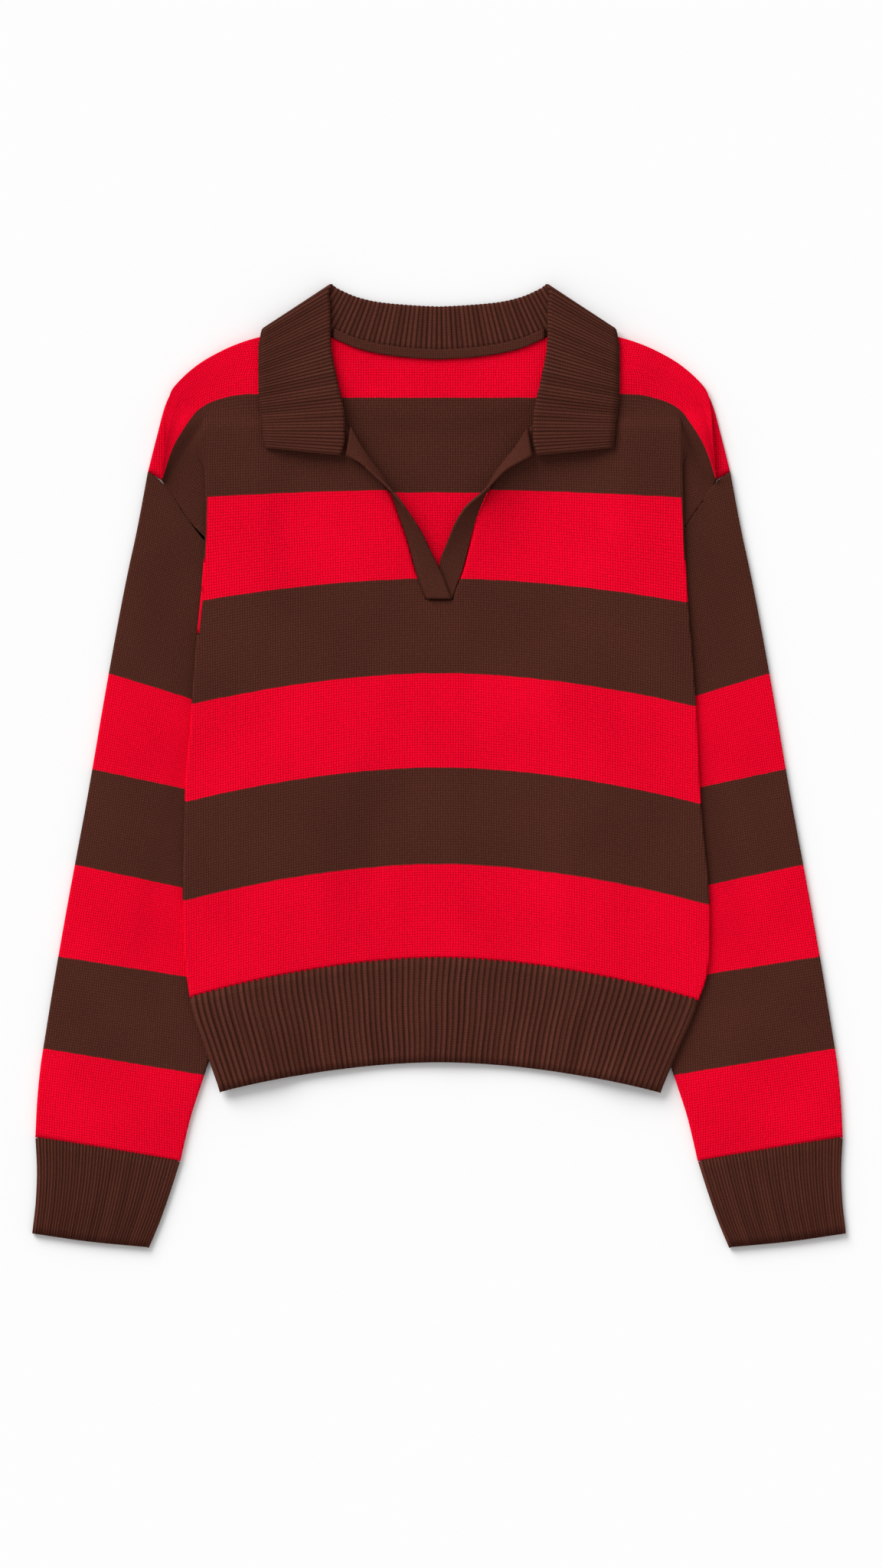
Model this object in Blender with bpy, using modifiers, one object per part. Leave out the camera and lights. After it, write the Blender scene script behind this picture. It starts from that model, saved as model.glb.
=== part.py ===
"""A striped knit sweater with a ribbed polo collar, laid flat on its back.

Every piece is an open sheet of cloth, lofted through rows of points and given its wall
by a Solidify modifier.  Lengths in the tables and functions are in millimetres, with
+Y towards the collar, +Z up and the floor at z = 0; a mesh is scaled to metres once.
"""

import math
from collections import namedtuple

import bmesh
import bpy
import numpy as np

# ---- Driving dimensions, in millimetres ------------------------------------------------
MM = 0.001
WALL = 2.0              # jersey of the body and sleeves, and the plain bands
RIDGE = 2.6             # ribbed cloth, at the top of a rib
VALLEY = 1.7            # ribbed cloth, between two ribs
TAPE = 1.2              # the plain tape over the back neck seam
GAP = 0.3               # between neighbouring pieces
SEAM_ROOM = 0.6         # between pieces whose seam curves
NECK_ROOM = 1.6         # between the body panels and the collar, at the neckline
LAYER = WALL + GAP      # rise from one layer of cloth to the next
TURN = LAYER / 2        # radius of a folded edge, at the middle of the wall
RIB_TURN = (RIDGE + GAP) / 2            # the same in the collar
BACK_LEVEL = WALL / 2                   # middle of the back panel, where it lies on the floor
FRONT_LEVEL = BACK_LEVEL + LAYER        # middle of the front panel, lying on the back
SLEEVE_STACK = 2 * LAYER                # a flattened sleeve, with the gap on it
LEAF_STACK = RIDGE + GAP                # the collar's back leaf, with the gap on it
FOLD_INSET = WALL / 2 + TURN            # from a folded edge to where the cloth lies flat
ON_PANEL = RIDGE / 2 + 2 * GAP + WALL / 2   # from the middle of a panel to ribbed cloth on it

HEM_RIBS = 85           # across the front
CUFF_RIBS = 42          # across the upper side
LEAF_RIBS = 44          # on each front leaf of the collar
STAND_RIBS = 24         # on each half of the back of the collar

RED = (0.78, 0.005, 0.022)
BROWN = (0.075, 0.027, 0.019)

# ---- Outlines and folds, a row for each place along them -------------------------------
Place = namedtuple("Place", "x y")
Side = namedtuple("Side", "y left right")
Course = namedtuple("Course", "centre droop")
Lift = namedtuple("Lift", "y rise")
Fold = namedtuple("Fold", "x_top x_bottom height width")
Seam = namedtuple("Seam", "y x")
Pleat = namedtuple("Pleat", "centre overlap armhole")
Band = namedtuple("Band", "seam_x seam_y seam_z step free_x free_y free_z")

# The body's folded sides, from the top of the pleat down to the hem's corners.
BODY_SIDES = [
    Side(283, -185.6, 189.4), Side(229, -183.0, 191.2), Side(187, -183.5, 192.4),
    Side(145, -185.9, 194.2), Side(91, -191.0, 198.5), Side(40, -194.6, 202.0),
    Side(-23, -199.4, 205.0), Side(-75, -200.4, 209.6), Side(-107, -201.2, 212.2),
    Side(-149, -199.4, 212.2), Side(-186, -194.6, 202.6), Side(-222, -183.2, 187.6),
    Side(-255, -171.8, 173.8),
]

# How far a course of stitches sinks at DROOP_X from the middle, by its height there.
DROOP_X = 174.0
DROOP_POWER = 1.8
COURSES = [
    Course(292, 3.0), Course(217, 5.5), Course(148, 15.5), Course(73, 20.0),
    Course(-1, 21.3), Course(-76, 22.5), Course(-150, 25.0), Course(-232, 23.4),
]
HEM_SEAM = -150.3       # height of the seam over the hem ribbing, at the middle
HEM_MIDDLE = -212.0
HEM_END = -231.6        # height of the garment's lower end, at the middle

# Outer edge of the shoulder, from the neck to the armhole.
SHOULDER = [
    Place(-112, 344), Place(-126, 340.5), Place(-140, 336.9), Place(-152, 333.5),
    Place(-166, 328), Place(-179, 321.3), Place(-192, 312.9), Place(-202, 303.9),
    Place(-211, 291.9), Place(-218, 271), Place(-223.4, 250), Place(-228.2, 231),
]
# The front panel leaves that edge where the shoulder seam turns in over the back.
FRONT_SHOULDER = SHOULDER[:9] + [
    Place(-213.6, 277), Place(-214.6, 262), Place(-215.6, 245), Place(-216.6, 231),
]
# The course on the front panel whose outer end meets the end of the shoulder.
SHOULDER_COURSE = [
    Place(-106, 292.5), Place(-137, 293), Place(-155, 292.5), Place(-173, 288.5),
    Place(-185.6, 282.9), Place(-196.4, 271), Place(-209, 250), Place(-217.2, 226.5),
]
# The armhole seam, running down under the body to the underarm.
ARMHOLE = [
    Place(-218.0, 224), Place(-210.8, 212), Place(-195.8, 191), Place(-186.8, 179),
    Place(-170, 156), Place(-166, 104), Place(-134, 60), Place(-94, 32),
]
SLEEVE_OUTER = [
    Place(-228.6, 230), Place(-236.6, 187), Place(-245.6, 145), Place(-261.2, 61),
    Place(-275.6, -23), Place(-291.2, -107), Place(-305.6, -191), Place(-314.6, -254),
    Place(-316.6, -290.4),
]
SLEEVE_INNER = [
    Place(-94, 32), Place(-136, -95), Place(-183.2, -240), Place(-194.6, -275),
    Place(-202.6, -309.2),
]
CUFF_OUTER = [Place(-316.6, -290.8), Place(-315.4, -317), Place(-316.2, -338),
              Place(-319.2, -365.7)]
CUFF_INNER = [Place(-202.8, -309.6), Place(-209.6, -331), Place(-218, -355),
              Place(-227, -376.65)]

# The neckline, from the front end of the collar round to the middle of the back.
NECK_FRONT = [
    Place(-80.5, 277), Place(-94, 283), Place(-107, 294), Place(-114, 308),
    Place(-117, 325), Place(-112, 344.4),
]
NECK_BACK = [
    Place(-98, 345), Place(-84.8, 338), Place(-65, 330), Place(-44, 325.4),
    Place(-20, 322.6), Place(0, 321.6),
]
# The collar's folded edge and the free edge of its leaf, in the same order.
FOLD_FRONT = [
    Place(-77.4, 243.8), Place(-74.6, 257), Place(-75.0, 274.5), Place(-80.6, 302),
    Place(-85.8, 332), Place(-86.2, 360), Place(-87.8, 372.4),
]
FOLD_BACK = [
    Place(-80.6, 374.0), Place(-65, 367.2), Place(-47, 363), Place(-29, 361.2),
    Place(-11, 360.0), Place(0, 359.6),
]
LEAF_FRONT = [
    Place(-136.4, 249.9), Place(-138.8, 270), Place(-141.5, 296), Place(-141.5, 328),
    Place(-139.4, 340.4),
]
LEAF_BACK = [
    Place(-135.0, 338), Place(-131, 322), Place(-112, 309), Place(-84, 302),
    Place(-44, 299), Place(0, 298),
]
# Height of the middle of the fold, evenly along the front half of the collar.
FOLD_RISE = [13.2, 12.6, 11.6, 10.2, 9.0, 8.3, 7.7]

# How far the front panel's edge rises round the turned-out V and under the collar.
NECK_LIFTS = [
    Lift(131, 0.0), Lift(144, 0.3), Lift(156, 0.8), Lift(170, 1.5), Lift(183, 2.4),
    Lift(202, 3.8), Lift(213, 4.6), Lift(225, 5.1), Lift(236, 5.1), Lift(249, 4.6),
    Lift(262, 3.7), Lift(277, 2.2), Lift(285, 1.3), Lift(294, 0.6), Lift(305, 0.2),
    Lift(320, 0.0),
]
NECK_LIFT_REACH = 27.0

# Soft folds of the front, from the placket down to the hem.
SOFT_FOLDS = [
    Fold(-98, -92, 2.2, 28), Fold(-2, 6, 2.6, 26), Fold(100, 112, 2.2, 28),
]

# Rows of the pleat where the drop shoulder goes in under the body: the row's height at
# the middle, how far its overlap is made, and where its outer end lies along the
# armhole, as a share of the stretch that the pleat's rows end on.
PLEATS = [
    Pleat(278, 0.00, 0.05), Pleat(268, 0.08, 0.12), Pleat(256, 0.30, 0.22),
    Pleat(243, 0.55, 0.34), Pleat(228, 0.80, 0.48), Pleat(211, 0.95, 0.64),
    Pleat(193, 1.00, 0.82), Pleat(176, 1.00, 1.00),
]
PLEAT_ARMHOLE = 82.0
# The side seams under the body, as far in as the front's folded sides reach under it.
SIDE_SEAMS = [
    Seam(300, 155), Seam(150, 155), Seam(91, 160), Seam(-23, 173), Seam(-149, 182),
    Seam(-186, 179), Seam(-222, 168), Seam(-255, 158),
]
PLEAT_REACH = 37.0      # from the folded side in to the pleat's inner fold, at the most

# The placket bands, from the foot of the V up to the collar.  step is how far a band
# rises at once from its seam, to lie over the other band.
LEFT_BAND = [
    Band(-9.6, 131.5, 3.3, 2.5, 9.4, 131.5, 5.9),
    Band(-14.6, 143.7, 3.6, 2.4, 5.2, 143.7, 6.2),
    Band(-18.5, 156.3, 4.1, 2.0, -0.2, 156.3, 7.4),
    Band(-21.8, 169.5, 4.8, 1.4, -6.8, 169.5, 9.6),
    Band(-25.7, 182.7, 5.7, 0.8, -13.4, 182.7, 12.4),
    Band(-29.3, 192.9, 6.4, 0.4, -20.0, 192.9, 14.8),
    Band(-32.4, 202.0, 7.1, 0.2, -25.9, 201.5, 16.8),
    Band(-36.2, 213.0, 8.1, 0.0, -34.2, 212.6, 18.2),
    Band(-42.0, 224.5, 9.7, 0.0, -42.4, 221.0, 18.4),
    Band(-50.6, 235.5, 10.9, 0.0, -53.0, 230.4, 17.8),
    Band(-60.0, 249.0, 11.1, 0.0, -62.6, 238.4, 16.8),
    Band(-69.4, 266.0, 10.8, 0.0, -73.0, 243.4, 15.4),
]
RIGHT_BAND = [
    Band(10.0, 131.5, 3.3, 0.0, -4.5, 131.5, 3.3),
    Band(13.6, 142.0, 3.5, 0.0, -3.5, 142.0, 3.5),
    Band(17.4, 152.0, 3.9, 0.0, -1.2, 152.0, 4.0),
    Band(20.9, 164.0, 4.4, 0.0, 1.6, 164.0, 5.4),
    Band(23.9, 177.0, 5.2, 0.0, 6.6, 176.0, 8.2),
    Band(27.2, 190.0, 6.2, 0.0, 12.4, 190.0, 11.6),
    Band(32.2, 204.0, 7.3, 0.0, 21.6, 204.0, 15.0),
    Band(36.6, 215.0, 8.3, 0.0, 33.4, 214.0, 17.2),
    Band(42.0, 226.5, 9.8, 0.0, 41.4, 222.0, 17.8),
    Band(51.0, 239.0, 10.9, 0.0, 51.0, 231.4, 17.4),
    Band(60.0, 250.5, 11.1, 0.0, 61.2, 237.4, 16.4),
    Band(69.4, 266.0, 10.8, 0.0, 72.8, 243.4, 15.4),
]
BAND_WIDTH = 19.0

# Shares of the way from the middle of the front to its side where its columns stand.
MAIN = [0.0, 0.08, 0.2, 0.33, 0.46, 0.59, 0.72, 0.86, 1.0]
TAIL = 9                # points round the pleat and out to the armhole
RETURN = 4              # points of those that a row without the pleat has
SHOULDER_ROWS = 4
BODY_ROWS = [154, 131, 108, 84, 60, 36, 12, -12, -36, -60, -84, -108, -130]


# ---- Reading the tables ----------------------------------------------------------------
def smooth(share):
    """0 below 0, 1 above 1, and an even S between."""
    share = min(1.0, max(0.0, share))
    return share * share * (3 - 2 * share)


def mix(a, b, share):
    return tuple(p + (q - p) * share for p, q in zip(a, b))


def curve(keys, values, at):
    """The value at a key, on a smooth curve that never overshoots its neighbours."""
    at = min(max(at, keys[0]), keys[-1])
    i = int(min(max(np.searchsorted(keys, at) - 1, 0), len(keys) - 2))
    steps = np.diff(keys)
    rises = np.diff(values) / steps
    slopes = np.zeros(len(keys))
    slopes[0], slopes[-1] = rises[0], rises[-1]
    for k in range(1, len(keys) - 1):
        if rises[k - 1] * rises[k] > 0:
            slopes[k] = 2 * rises[k - 1] * rises[k] / (rises[k - 1] + rises[k])
    t = (at - keys[i]) / steps[i]
    return ((1 + 2 * t) * (1 - t) ** 2 * values[i] + t * (1 - t) ** 2 * steps[i] * slopes[i]
            + t * t * (3 - 2 * t) * values[i + 1] - t * t * (1 - t) * steps[i] * slopes[i + 1])


def read(table, at, key, value):
    """One column of a table at a place in its key column."""
    rows = sorted(table, key=lambda row: getattr(row, key))
    keys = np.array([getattr(row, key) for row in rows], float)
    values = np.array([getattr(row, value) for row in rows], float)
    return curve(keys, values, at)


def run_of(points):
    """Distance along a chain of points, at each of them."""
    steps = [math.dist(a, b) for a, b in zip(points, points[1:])]
    return np.concatenate([[0.0], np.cumsum(steps)])


def on_path(points, share):
    """The point at a share of a chain's length, on a smooth curve through it."""
    run = run_of(points)
    axes = range(len(points[0]))
    return tuple(curve(run, np.array([p[axis] for p in points], float), share * run[-1])
                 for axis in axes)


def mirrored(points):
    return [(-p[0], *p[1:]) for p in points]


# ---- Heights of the cloth --------------------------------------------------------------
def beyond(chain, x, y):
    """Distance of a point from a chain, positive on its left as the chain runs."""
    best = (1e9, 1.0)
    for a, b in zip(chain, chain[1:]):
        run = (b[0] - a[0], b[1] - a[1])
        share = ((x - a[0]) * run[0] + (y - a[1]) * run[1]) / (run[0] ** 2 + run[1] ** 2)
        share = min(1.0, max(0.0, share))
        away = (x - a[0] - share * run[0], y - a[1] - share * run[1])
        turn_to = run[0] * away[1] - run[1] * away[0]
        best = min(best, (math.hypot(*away), 1.0 if turn_to > 0 else -1.0))
    return best[0] * best[1]


UNDERARM = [tuple(p) for p in ARMHOLE[4:]] + [tuple(p) for p in SLEEVE_INNER[1:]]
LEAF_REACH = [(-139, 352)] + [tuple(p) for p in LEAF_BACK]


def over_sleeve(x, y, flat, fall, top, span):
    """1 where the body lies over a sleeve and flat beyond it, falling to 0 over fall.

    It starts over span below top, and lets the hem's corners down towards the floor.
    """
    away = beyond(UNDERARM, -abs(x), y)
    return smooth((top - y) / span) * smooth((flat + fall - away) / fall) * corner_drop(y)


def corner_drop(y):
    return 1.0 - 0.5 * smooth((-247 - y) / 14)


def over_leaf(x, y, flat, fall):
    """The same over the collar's back leaf, which lies under the back panel."""
    if y < 200:
        return 0.0
    away = -beyond(LEAF_REACH, -abs(x), y)
    return smooth((flat + fall - away) / fall)


def back_height(x, y):
    """Middle of the back panel, lifted by what lies under it."""
    rise = max(SLEEVE_STACK * over_sleeve(x, y, 25, 32, 150, 22),
               LEAF_STACK * over_leaf(x, y, 13, 30))
    return BACK_LEVEL + rise


def front_height(x, y):
    """Middle of the front panel's top layer."""
    side = read(BODY_SIDES, y, "y", "right" if x > 0 else "left")
    pleat = smooth((abs(x) - abs(side) + PLEAT_REACH + 40) / 40) * smooth((284 - y) / 24)
    rise = max(SLEEVE_STACK * over_sleeve(x, y, 24, 62, 186, 34),
               LEAF_STACK * over_leaf(x, y, 18, 38),
               SLEEVE_STACK * pleat * corner_drop(y))
    return FRONT_LEVEL + rise + neck_lift(x, y) + front_folds(x, y)


def neck_lift(x, y):
    edge = neck_edge(y, 1.0 if x > 0 else -1.0)
    near = math.exp(-(max(0.0, abs(x) - abs(edge)) / NECK_LIFT_REACH) ** 2)
    return read(NECK_LIFTS, y, "y", "rise") * near


def front_folds(x, y):
    """Soft folds, fading in below the placket and out towards the hem."""
    rise = 0.0
    for fold in SOFT_FOLDS:
        middle = fold.x_top + (fold.x_bottom - fold.x_top) * (150 - y) / 300
        rise += fold.height * math.exp(-((x - middle) / fold.width) ** 2)
    return rise * smooth((150 - y) / 110) * (0.45 + 0.55 * smooth((y + 235) / 120))


def neck_edge(y, sign):
    """The front panel's inner edge: the V up to the collar, then the neckline."""
    bands = RIGHT_BAND if sign > 0 else LEFT_BAND
    seam = []
    for band in bands:
        upright = 1.0 - min(1.0, abs(band.free_x - band.seam_x) / BAND_WIDTH)
        seam.append((band.seam_y, band.seam_x + sign * (2 * SEAM_ROOM + 0.7 * upright)))
    neck = [(p.y, -sign * (p.x - NECK_ROOM)) for p in NECK_FRONT]
    edge = seam + neck
    keys = np.array([k for k, _ in edge], float)
    return curve(keys, np.array([v for _, v in edge], float), y)


# ---- Making a piece --------------------------------------------------------------------
def knit(name, colour):
    made = bpy.data.materials.new(name + "_knit")
    made.use_nodes = True
    shader = made.node_tree.nodes["Principled BSDF"]
    shader.inputs["Base Color"].default_value = (*colour, 1.0)
    shader.inputs["Roughness"].default_value = 0.9
    shader.inputs["Metallic"].default_value = 0.0
    return made


def piece(name, rows, colour, closed=False, skip=None, share=None, wall=WALL, offset=0.0,
          mirror=False):
    """A sheet through rows of points, given its wall by Solidify.

    closed joins each row's last point to its first, skip(row, column) leaves a cell
    out, and share(row, column) is the part of the wall that a point gets.
    """
    mesh = bmesh.new()
    layer = mesh.verts.layers.deform.new()
    grid = [[mesh.verts.new([v * MM for v in p]) for p in row] for row in rows]
    if share:
        for r, row in enumerate(grid):
            for c, point in enumerate(row):
                point[layer][0] = share(r, c)
    columns = len(rows[0])
    for r in range(len(rows) - 1):
        for c in range(columns if closed else columns - 1):
            if not (skip and skip(r, c)):
                after = (c + 1) % columns
                mesh.faces.new((grid[r][c], grid[r + 1][c], grid[r + 1][after], grid[r][after]))
    loose = [point for point in mesh.verts if not point.link_faces]
    bmesh.ops.delete(mesh, geom=loose, context="VERTS")
    data = bpy.data.meshes.new(name)
    mesh.to_mesh(data)
    mesh.free()
    data.materials.append(knit(name, colour))
    data.shade_smooth()
    made = bpy.data.objects.new(name, data)
    SWEATER.objects.link(made)
    if mirror:
        other_half = made.modifiers.new("other_half", "MIRROR")
        other_half.merge_threshold = 0.00001
    solid = made.modifiers.new("wall", "SOLIDIFY")
    solid.thickness = wall * MM
    solid.offset = offset
    if share:
        made.vertex_groups.new(name="wall")
        solid.vertex_group = "wall"
    return made


def turn(start, out, up, radius=TURN):
    """Two points round a folded edge that starts at a point.

    out is the sign of x towards the edge, and up the sign of z to the next layer.
    """
    x, y, z = start
    return [(x + out * radius * 0.87, y, z + up * radius * 0.5),
            (x + out * radius * 0.87, y, z + up * radius * 1.5)]


# ---- Body ------------------------------------------------------------------------------
def sag(x, centre):
    """The height, at x, of the course that crosses the middle at centre."""
    droop = read(COURSES, centre, "centre", "droop")
    return centre - droop * (abs(x) / DROOP_X) ** DROOP_POWER


def side_of(centre, sign):
    """Where a course meets the body's folded side."""
    y = centre
    for _ in range(8):
        x = read(BODY_SIDES, y, "y", "right" if sign > 0 else "left")
        y = sag(x, centre)
    return x, y


def seam_x(y, sign, room=0.0):
    """The side seam under the body, where the back panel meets the front's return."""
    return sign * (read(SIDE_SEAMS, y, "y", "x") - room)


def front_course(centre, sign):
    """Points of one course, from the middle or the neck's edge to the folded side."""
    inner = neck_edge(max(centre, 131.5), sign)
    outer = side_of(centre, sign)[0] - sign * FOLD_INSET
    points = []
    for share in MAIN:
        x = inner + (outer - inner) * share
        y = sag(x, centre)
        points.append((x, y, front_height(x, y)))
    return points


def plain_tail(start, sign, centre):
    """Round the folded side and back under it to the side seam."""
    x, y, z = start
    end = seam_x(y, sign)
    under = [(x - sign * 0.5, y, z - LAYER), (end, sag(end, centre), z - LAYER)]
    tail = turn(start, sign, -1) + under
    return tail + [under[-1]] * (TAIL - RETURN)


def pleat_tail(start, sign, pleat):
    """Round the pleat, part made or whole, and along the drop shoulder to the armhole."""
    x, y, z = start
    seam = on_path(ARMHOLE, pleat.armhole * PLEAT_ARMHOLE / run_of(ARMHOLE)[-1])
    end = (-sign * (seam[0] + SEAM_ROOM), seam[1] + SEAM_ROOM)
    inner = x + (seam_x(y, sign) - x) * pleat.overlap
    under = [(x - sign * 0.5, y, z - LAYER), (inner, y, z - LAYER)]
    folded = turn(start, sign, -1) + under + turn(under[-1], -sign, -1)
    folded += [(*mix((inner, y), end, share), z - 2 * LAYER) for share in (0.0, 0.5, 1.0)]
    unfolded = []
    for step in range(1, TAIL + 1):
        share = step / TAIL
        fallen = z + (FRONT_LEVEL - z) * smooth(share * 1.6)
        unfolded.append((*mix((x, y), end, share), fallen))
    return [mix(a, b, pleat.overlap) for a, b in zip(unfolded, folded)]


def shoulder_row(share, sign):
    """A row between the shoulder's edge (0) and the course that meets its end (1)."""
    start_y = 344 + (292.5 - 344) * share
    start = (neck_edge(start_y, -1), start_y)
    upper = [start] + [tuple(p) for p in FRONT_SHOULDER[1:]]
    lower = [start] + [tuple(p) for p in SHOULDER_COURSE[1:]]
    split = [0.63, 0.60]
    points = []
    for part in MAIN + [1 + step / TAIL for step in range(1, TAIL + 1)]:
        along = [s * part if part <= 1 else s + (1 - s) * (part - 1) for s in split]
        x, y = mix(on_path(upper, along[0]), on_path(lower, along[1]), share)
        points.append((-sign * x, y, front_height(x, y)))
    return points


def whole_row(half):
    """A row from the left side to the right, from a function of the side's sign."""
    return half(-1)[::-1] + half(1)


def make_front():
    rows = [whole_row(lambda sign, s=step / SHOULDER_ROWS: shoulder_row(s, sign))
            for step in range(SHOULDER_ROWS + 1)]

    def pleated(pleat):
        def half(sign):
            main = front_course(pleat.centre, sign)
            return main + pleat_tail(main[-1], sign, pleat)
        return half

    def plain(centre):
        def half(sign):
            main = front_course(centre, sign)
            return main + plain_tail(main[-1], sign, centre)
        return half

    rows += [whole_row(pleated(pleat)) for pleat in PLEATS]
    pleat_end = len(rows) - 1
    foot = pleat_end + 1 + BODY_ROWS.index(131)
    rows += [whole_row(plain(centre)) for centre in BODY_ROWS + [HEM_SEAM + GAP / 2]]
    centre_cell = len(MAIN) + TAIL - 1
    last_cell = len(rows[0]) - 2
    hidden = TAIL - RETURN

    def skip(r, c):
        above_foot = c == centre_cell and r < foot
        beside_sleeve = r >= pleat_end and (c < hidden or c > last_cell - hidden)
        return above_foot or beside_sleeve

    piece("front_panel", rows, RED, skip=skip)


def patch(top, bottom, left, right, downs, acrosses):
    """Rows of points filling four edges; left and right run down, top and bottom across."""
    rows = []
    for t in downs:
        row = []
        for s in acrosses:
            level = mix(on_path(left, t), on_path(right, t), s)
            fall = mix(on_path(top, s), on_path(bottom, s), t)
            corners = mix(mix(top[0], top[-1], s), mix(bottom[0], bottom[-1], s), t)
            row.append(tuple(a + b - c for a, b, c in zip(level, fall, corners)))
        rows.append(row)
    return rows


def make_back():
    shoulder = [tuple(p) for p in SHOULDER[::-1]]
    neck = [(p.x, p.y - NECK_ROOM) for p in NECK_BACK]
    top = shoulder + neck + mirrored((shoulder + neck[:-1])[::-1])
    edges = []
    for sign in (-1, 1):
        armhole = [(-sign * (p.x + SEAM_ROOM), p.y + SEAM_ROOM) for p in ARMHOLE[:5]]
        edge = [(-sign * SHOULDER[-1].x, SHOULDER[-1].y)] + armhole
        hem = side_of(HEM_SEAM, sign)[1] + 1.5
        for step in range(8):
            y = 147 + (hem - 147) * step / 7
            edge.append((seam_x(y, sign, SEAM_ROOM), y))
        edges.append(edge)
    left, right = edges
    ends = (left[-1][0], right[-1][0])
    bottom = []
    for step in range(17):
        x = ends[0] + (ends[1] - ends[0]) * step / 16
        bottom.append((x, sag(x, HEM_SEAM + GAP / 2)))
    left[-1], right[-1] = bottom[0], bottom[-1]
    downs = [0, 0.03, 0.07, 0.11, 0.155, 0.2, 0.23, 0.26, 0.29, 0.32, 0.37, 0.43, 0.5, 0.57,
             0.65, 0.73, 0.82, 0.91, 1]
    acrosses = [step / 20 for step in range(21)]
    flat = patch(top, bottom, left, right, downs, acrosses)
    piece("back_panel", [[(x, y, back_height(x, y)) for x, y in row] for row in flat], RED)


def make_hems():
    """The ribbed hem: the front wraps round both sides, and the back closes it."""
    def side_points(centre, sign):
        outer, y = side_of(centre, sign)
        start_x = outer - sign * FOLD_INSET
        start = (start_x, y, front_height(start_x, y) - WALL / 2)
        end_x = seam_x(y, sign)
        end = (end_x, sag(end_x, centre), start[2] - GAP)
        return start, turn(start, sign, -1, GAP / 2) + [(start_x - sign * 0.2, y, end[2]), end]

    centres = [HEM_SEAM - GAP / 2, HEM_MIDDLE, HEM_END]
    rows = []
    for centre in centres:
        left, left_tail = side_points(centre, -1)
        right, right_tail = side_points(centre, 1)
        row = left_tail[::-1]
        for step in range(2 * HEM_RIBS + 1):
            x = left[0] + (right[0] - left[0]) * step / (2 * HEM_RIBS)
            y = sag(x, centre)
            row.append((x, y, front_height(x, y) - WALL / 2))
        rows.append(row + right_tail)
    tail = 4

    def share(r, c):
        if tail <= c < len(rows[0]) - tail:
            return 1.0 if (c - tail) % 2 else VALLEY / RIDGE
        return WALL / RIDGE

    piece("hem_front", rows, BROWN, share=share, wall=RIDGE, offset=1.0)

    rows = []
    for centre in centres:
        ends = [seam_x(side_of(centre, sign)[1], sign, SEAM_ROOM) for sign in (-1, 1)]
        xs = [ends[0] + (ends[1] - ends[0]) * step / 16 for step in range(17)]
        rows.append([(x, sag(x, centre), back_height(x, sag(x, centre))) for x in xs])
    piece("hem_back", rows, BROWN)


# ---- Sleeves ---------------------------------------------------------------------------
def tube_row(top_line, width, level, radius, tops, bottoms):
    """One ring of a flattened tube: over the top, round, back underneath and round.

    top_line(share) is the plan point from the outer edge to the inner, and level(x, y)
    the height of the upper layer; the lower one lies on the floor.
    """
    inset = FOLD_INSET / width
    flat = [inset + (1 - 2 * inset) * share for share in tops]
    ring = []
    for share in flat:
        x, y = top_line(share)
        ring.append((x, y, level(x, y, share)))
    low = level(*top_line(1.0), 1.0) - 2 * radius
    nose = radius * 0.87 / width
    ring += [(*top_line(1 - inset + nose), low + radius * 1.5),
             (*top_line(1 - inset + nose), low + radius * 0.5)]
    for share in bottoms:
        ring.append((*top_line(1 - inset - (1 - 2 * inset) * share), low))
    ring += [(*top_line(inset - nose), low + radius * 0.5),
             (*top_line(inset - nose), low + radius * 1.5)]
    return ring


def make_sleeve(name, sign):
    armhole = [(p.x - GAP / 2, p.y - GAP / 2) for p in ARMHOLE]
    armhole = [(SLEEVE_OUTER[0].x, SLEEVE_OUTER[0].y)] + armhole[:-1] + [tuple(SLEEVE_INNER[0])]
    outer = [tuple(p) for p in SLEEVE_OUTER]
    inner = [tuple(p) for p in SLEEVE_INNER]
    cuff = [outer[-1], (-263, -299), inner[-1]]
    fine = [step / 24 for step in range(25)]
    rows = []
    for t in [0, 0.06, 0.14, 0.24, 0.36, 0.5, 0.64, 0.78, 0.9, 1]:
        line = patch(armhole, cuff, outer, inner, [t], fine)[0]
        width = run_of(line)[-1]

        def level(x, y, share):
            """Visible cloth stands a little proud of the layer under it."""
            side = read(BODY_SIDES, y, "y", "right" if sign > 0 else "left")
            bare = smooth((abs(x) - abs(side) - 18) / 26) if y > -245 else 1.0
            round_ends = smooth(share / 0.16) * smooth((1 - share) / 0.16)
            ends = smooth(t / 0.1) * smooth((1 - t) / 0.06)
            return FRONT_LEVEL + 1.4 * bare * round_ends * ends

        ring = tube_row(lambda s: on_path(line, s), width, level, TURN,
                        [0, 0.07, 0.2, 0.35, 0.5, 0.65, 0.8, 0.93, 1], [0, 0.25, 0.5, 0.75, 1])
        rows.append(ring if sign < 0 else mirrored(ring)[::-1])
    piece(name, rows, RED, closed=True)


def make_cuff(name, sign):
    outer = [tuple(p) for p in CUFF_OUTER]
    inner = [tuple(p) for p in CUFF_INNER]
    seam = [outer[0], (-263, -299.4), inner[0]]
    end = [outer[-1], (-272, -372.4), inner[-1]]
    fine = [step / 12 for step in range(13)]
    ribs = 2 * CUFF_RIBS
    tops = [step / ribs for step in range(ribs + 1)]
    rows = []
    for t in (0, 1):
        line = patch(seam, end, outer, inner, [t], fine)[0]
        width = run_of(line)[-1]
        ring = tube_row(lambda s: on_path(line, s), width, lambda x, y, s: LAYER, GAP / 2,
                        tops, [0, 0.2, 0.4, 0.6, 0.8, 1])
        rows.append(ring if sign < 0 else mirrored(ring)[::-1])
    size = len(rows[0])

    def share(r, c):
        place = c if sign < 0 else size - 1 - c
        if place <= ribs:
            return VALLEY / RIDGE if place % 2 else 1.0
        return WALL / RIDGE

    piece(name, rows, BROWN, closed=True, share=share, wall=RIDGE, offset=1.0)


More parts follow.
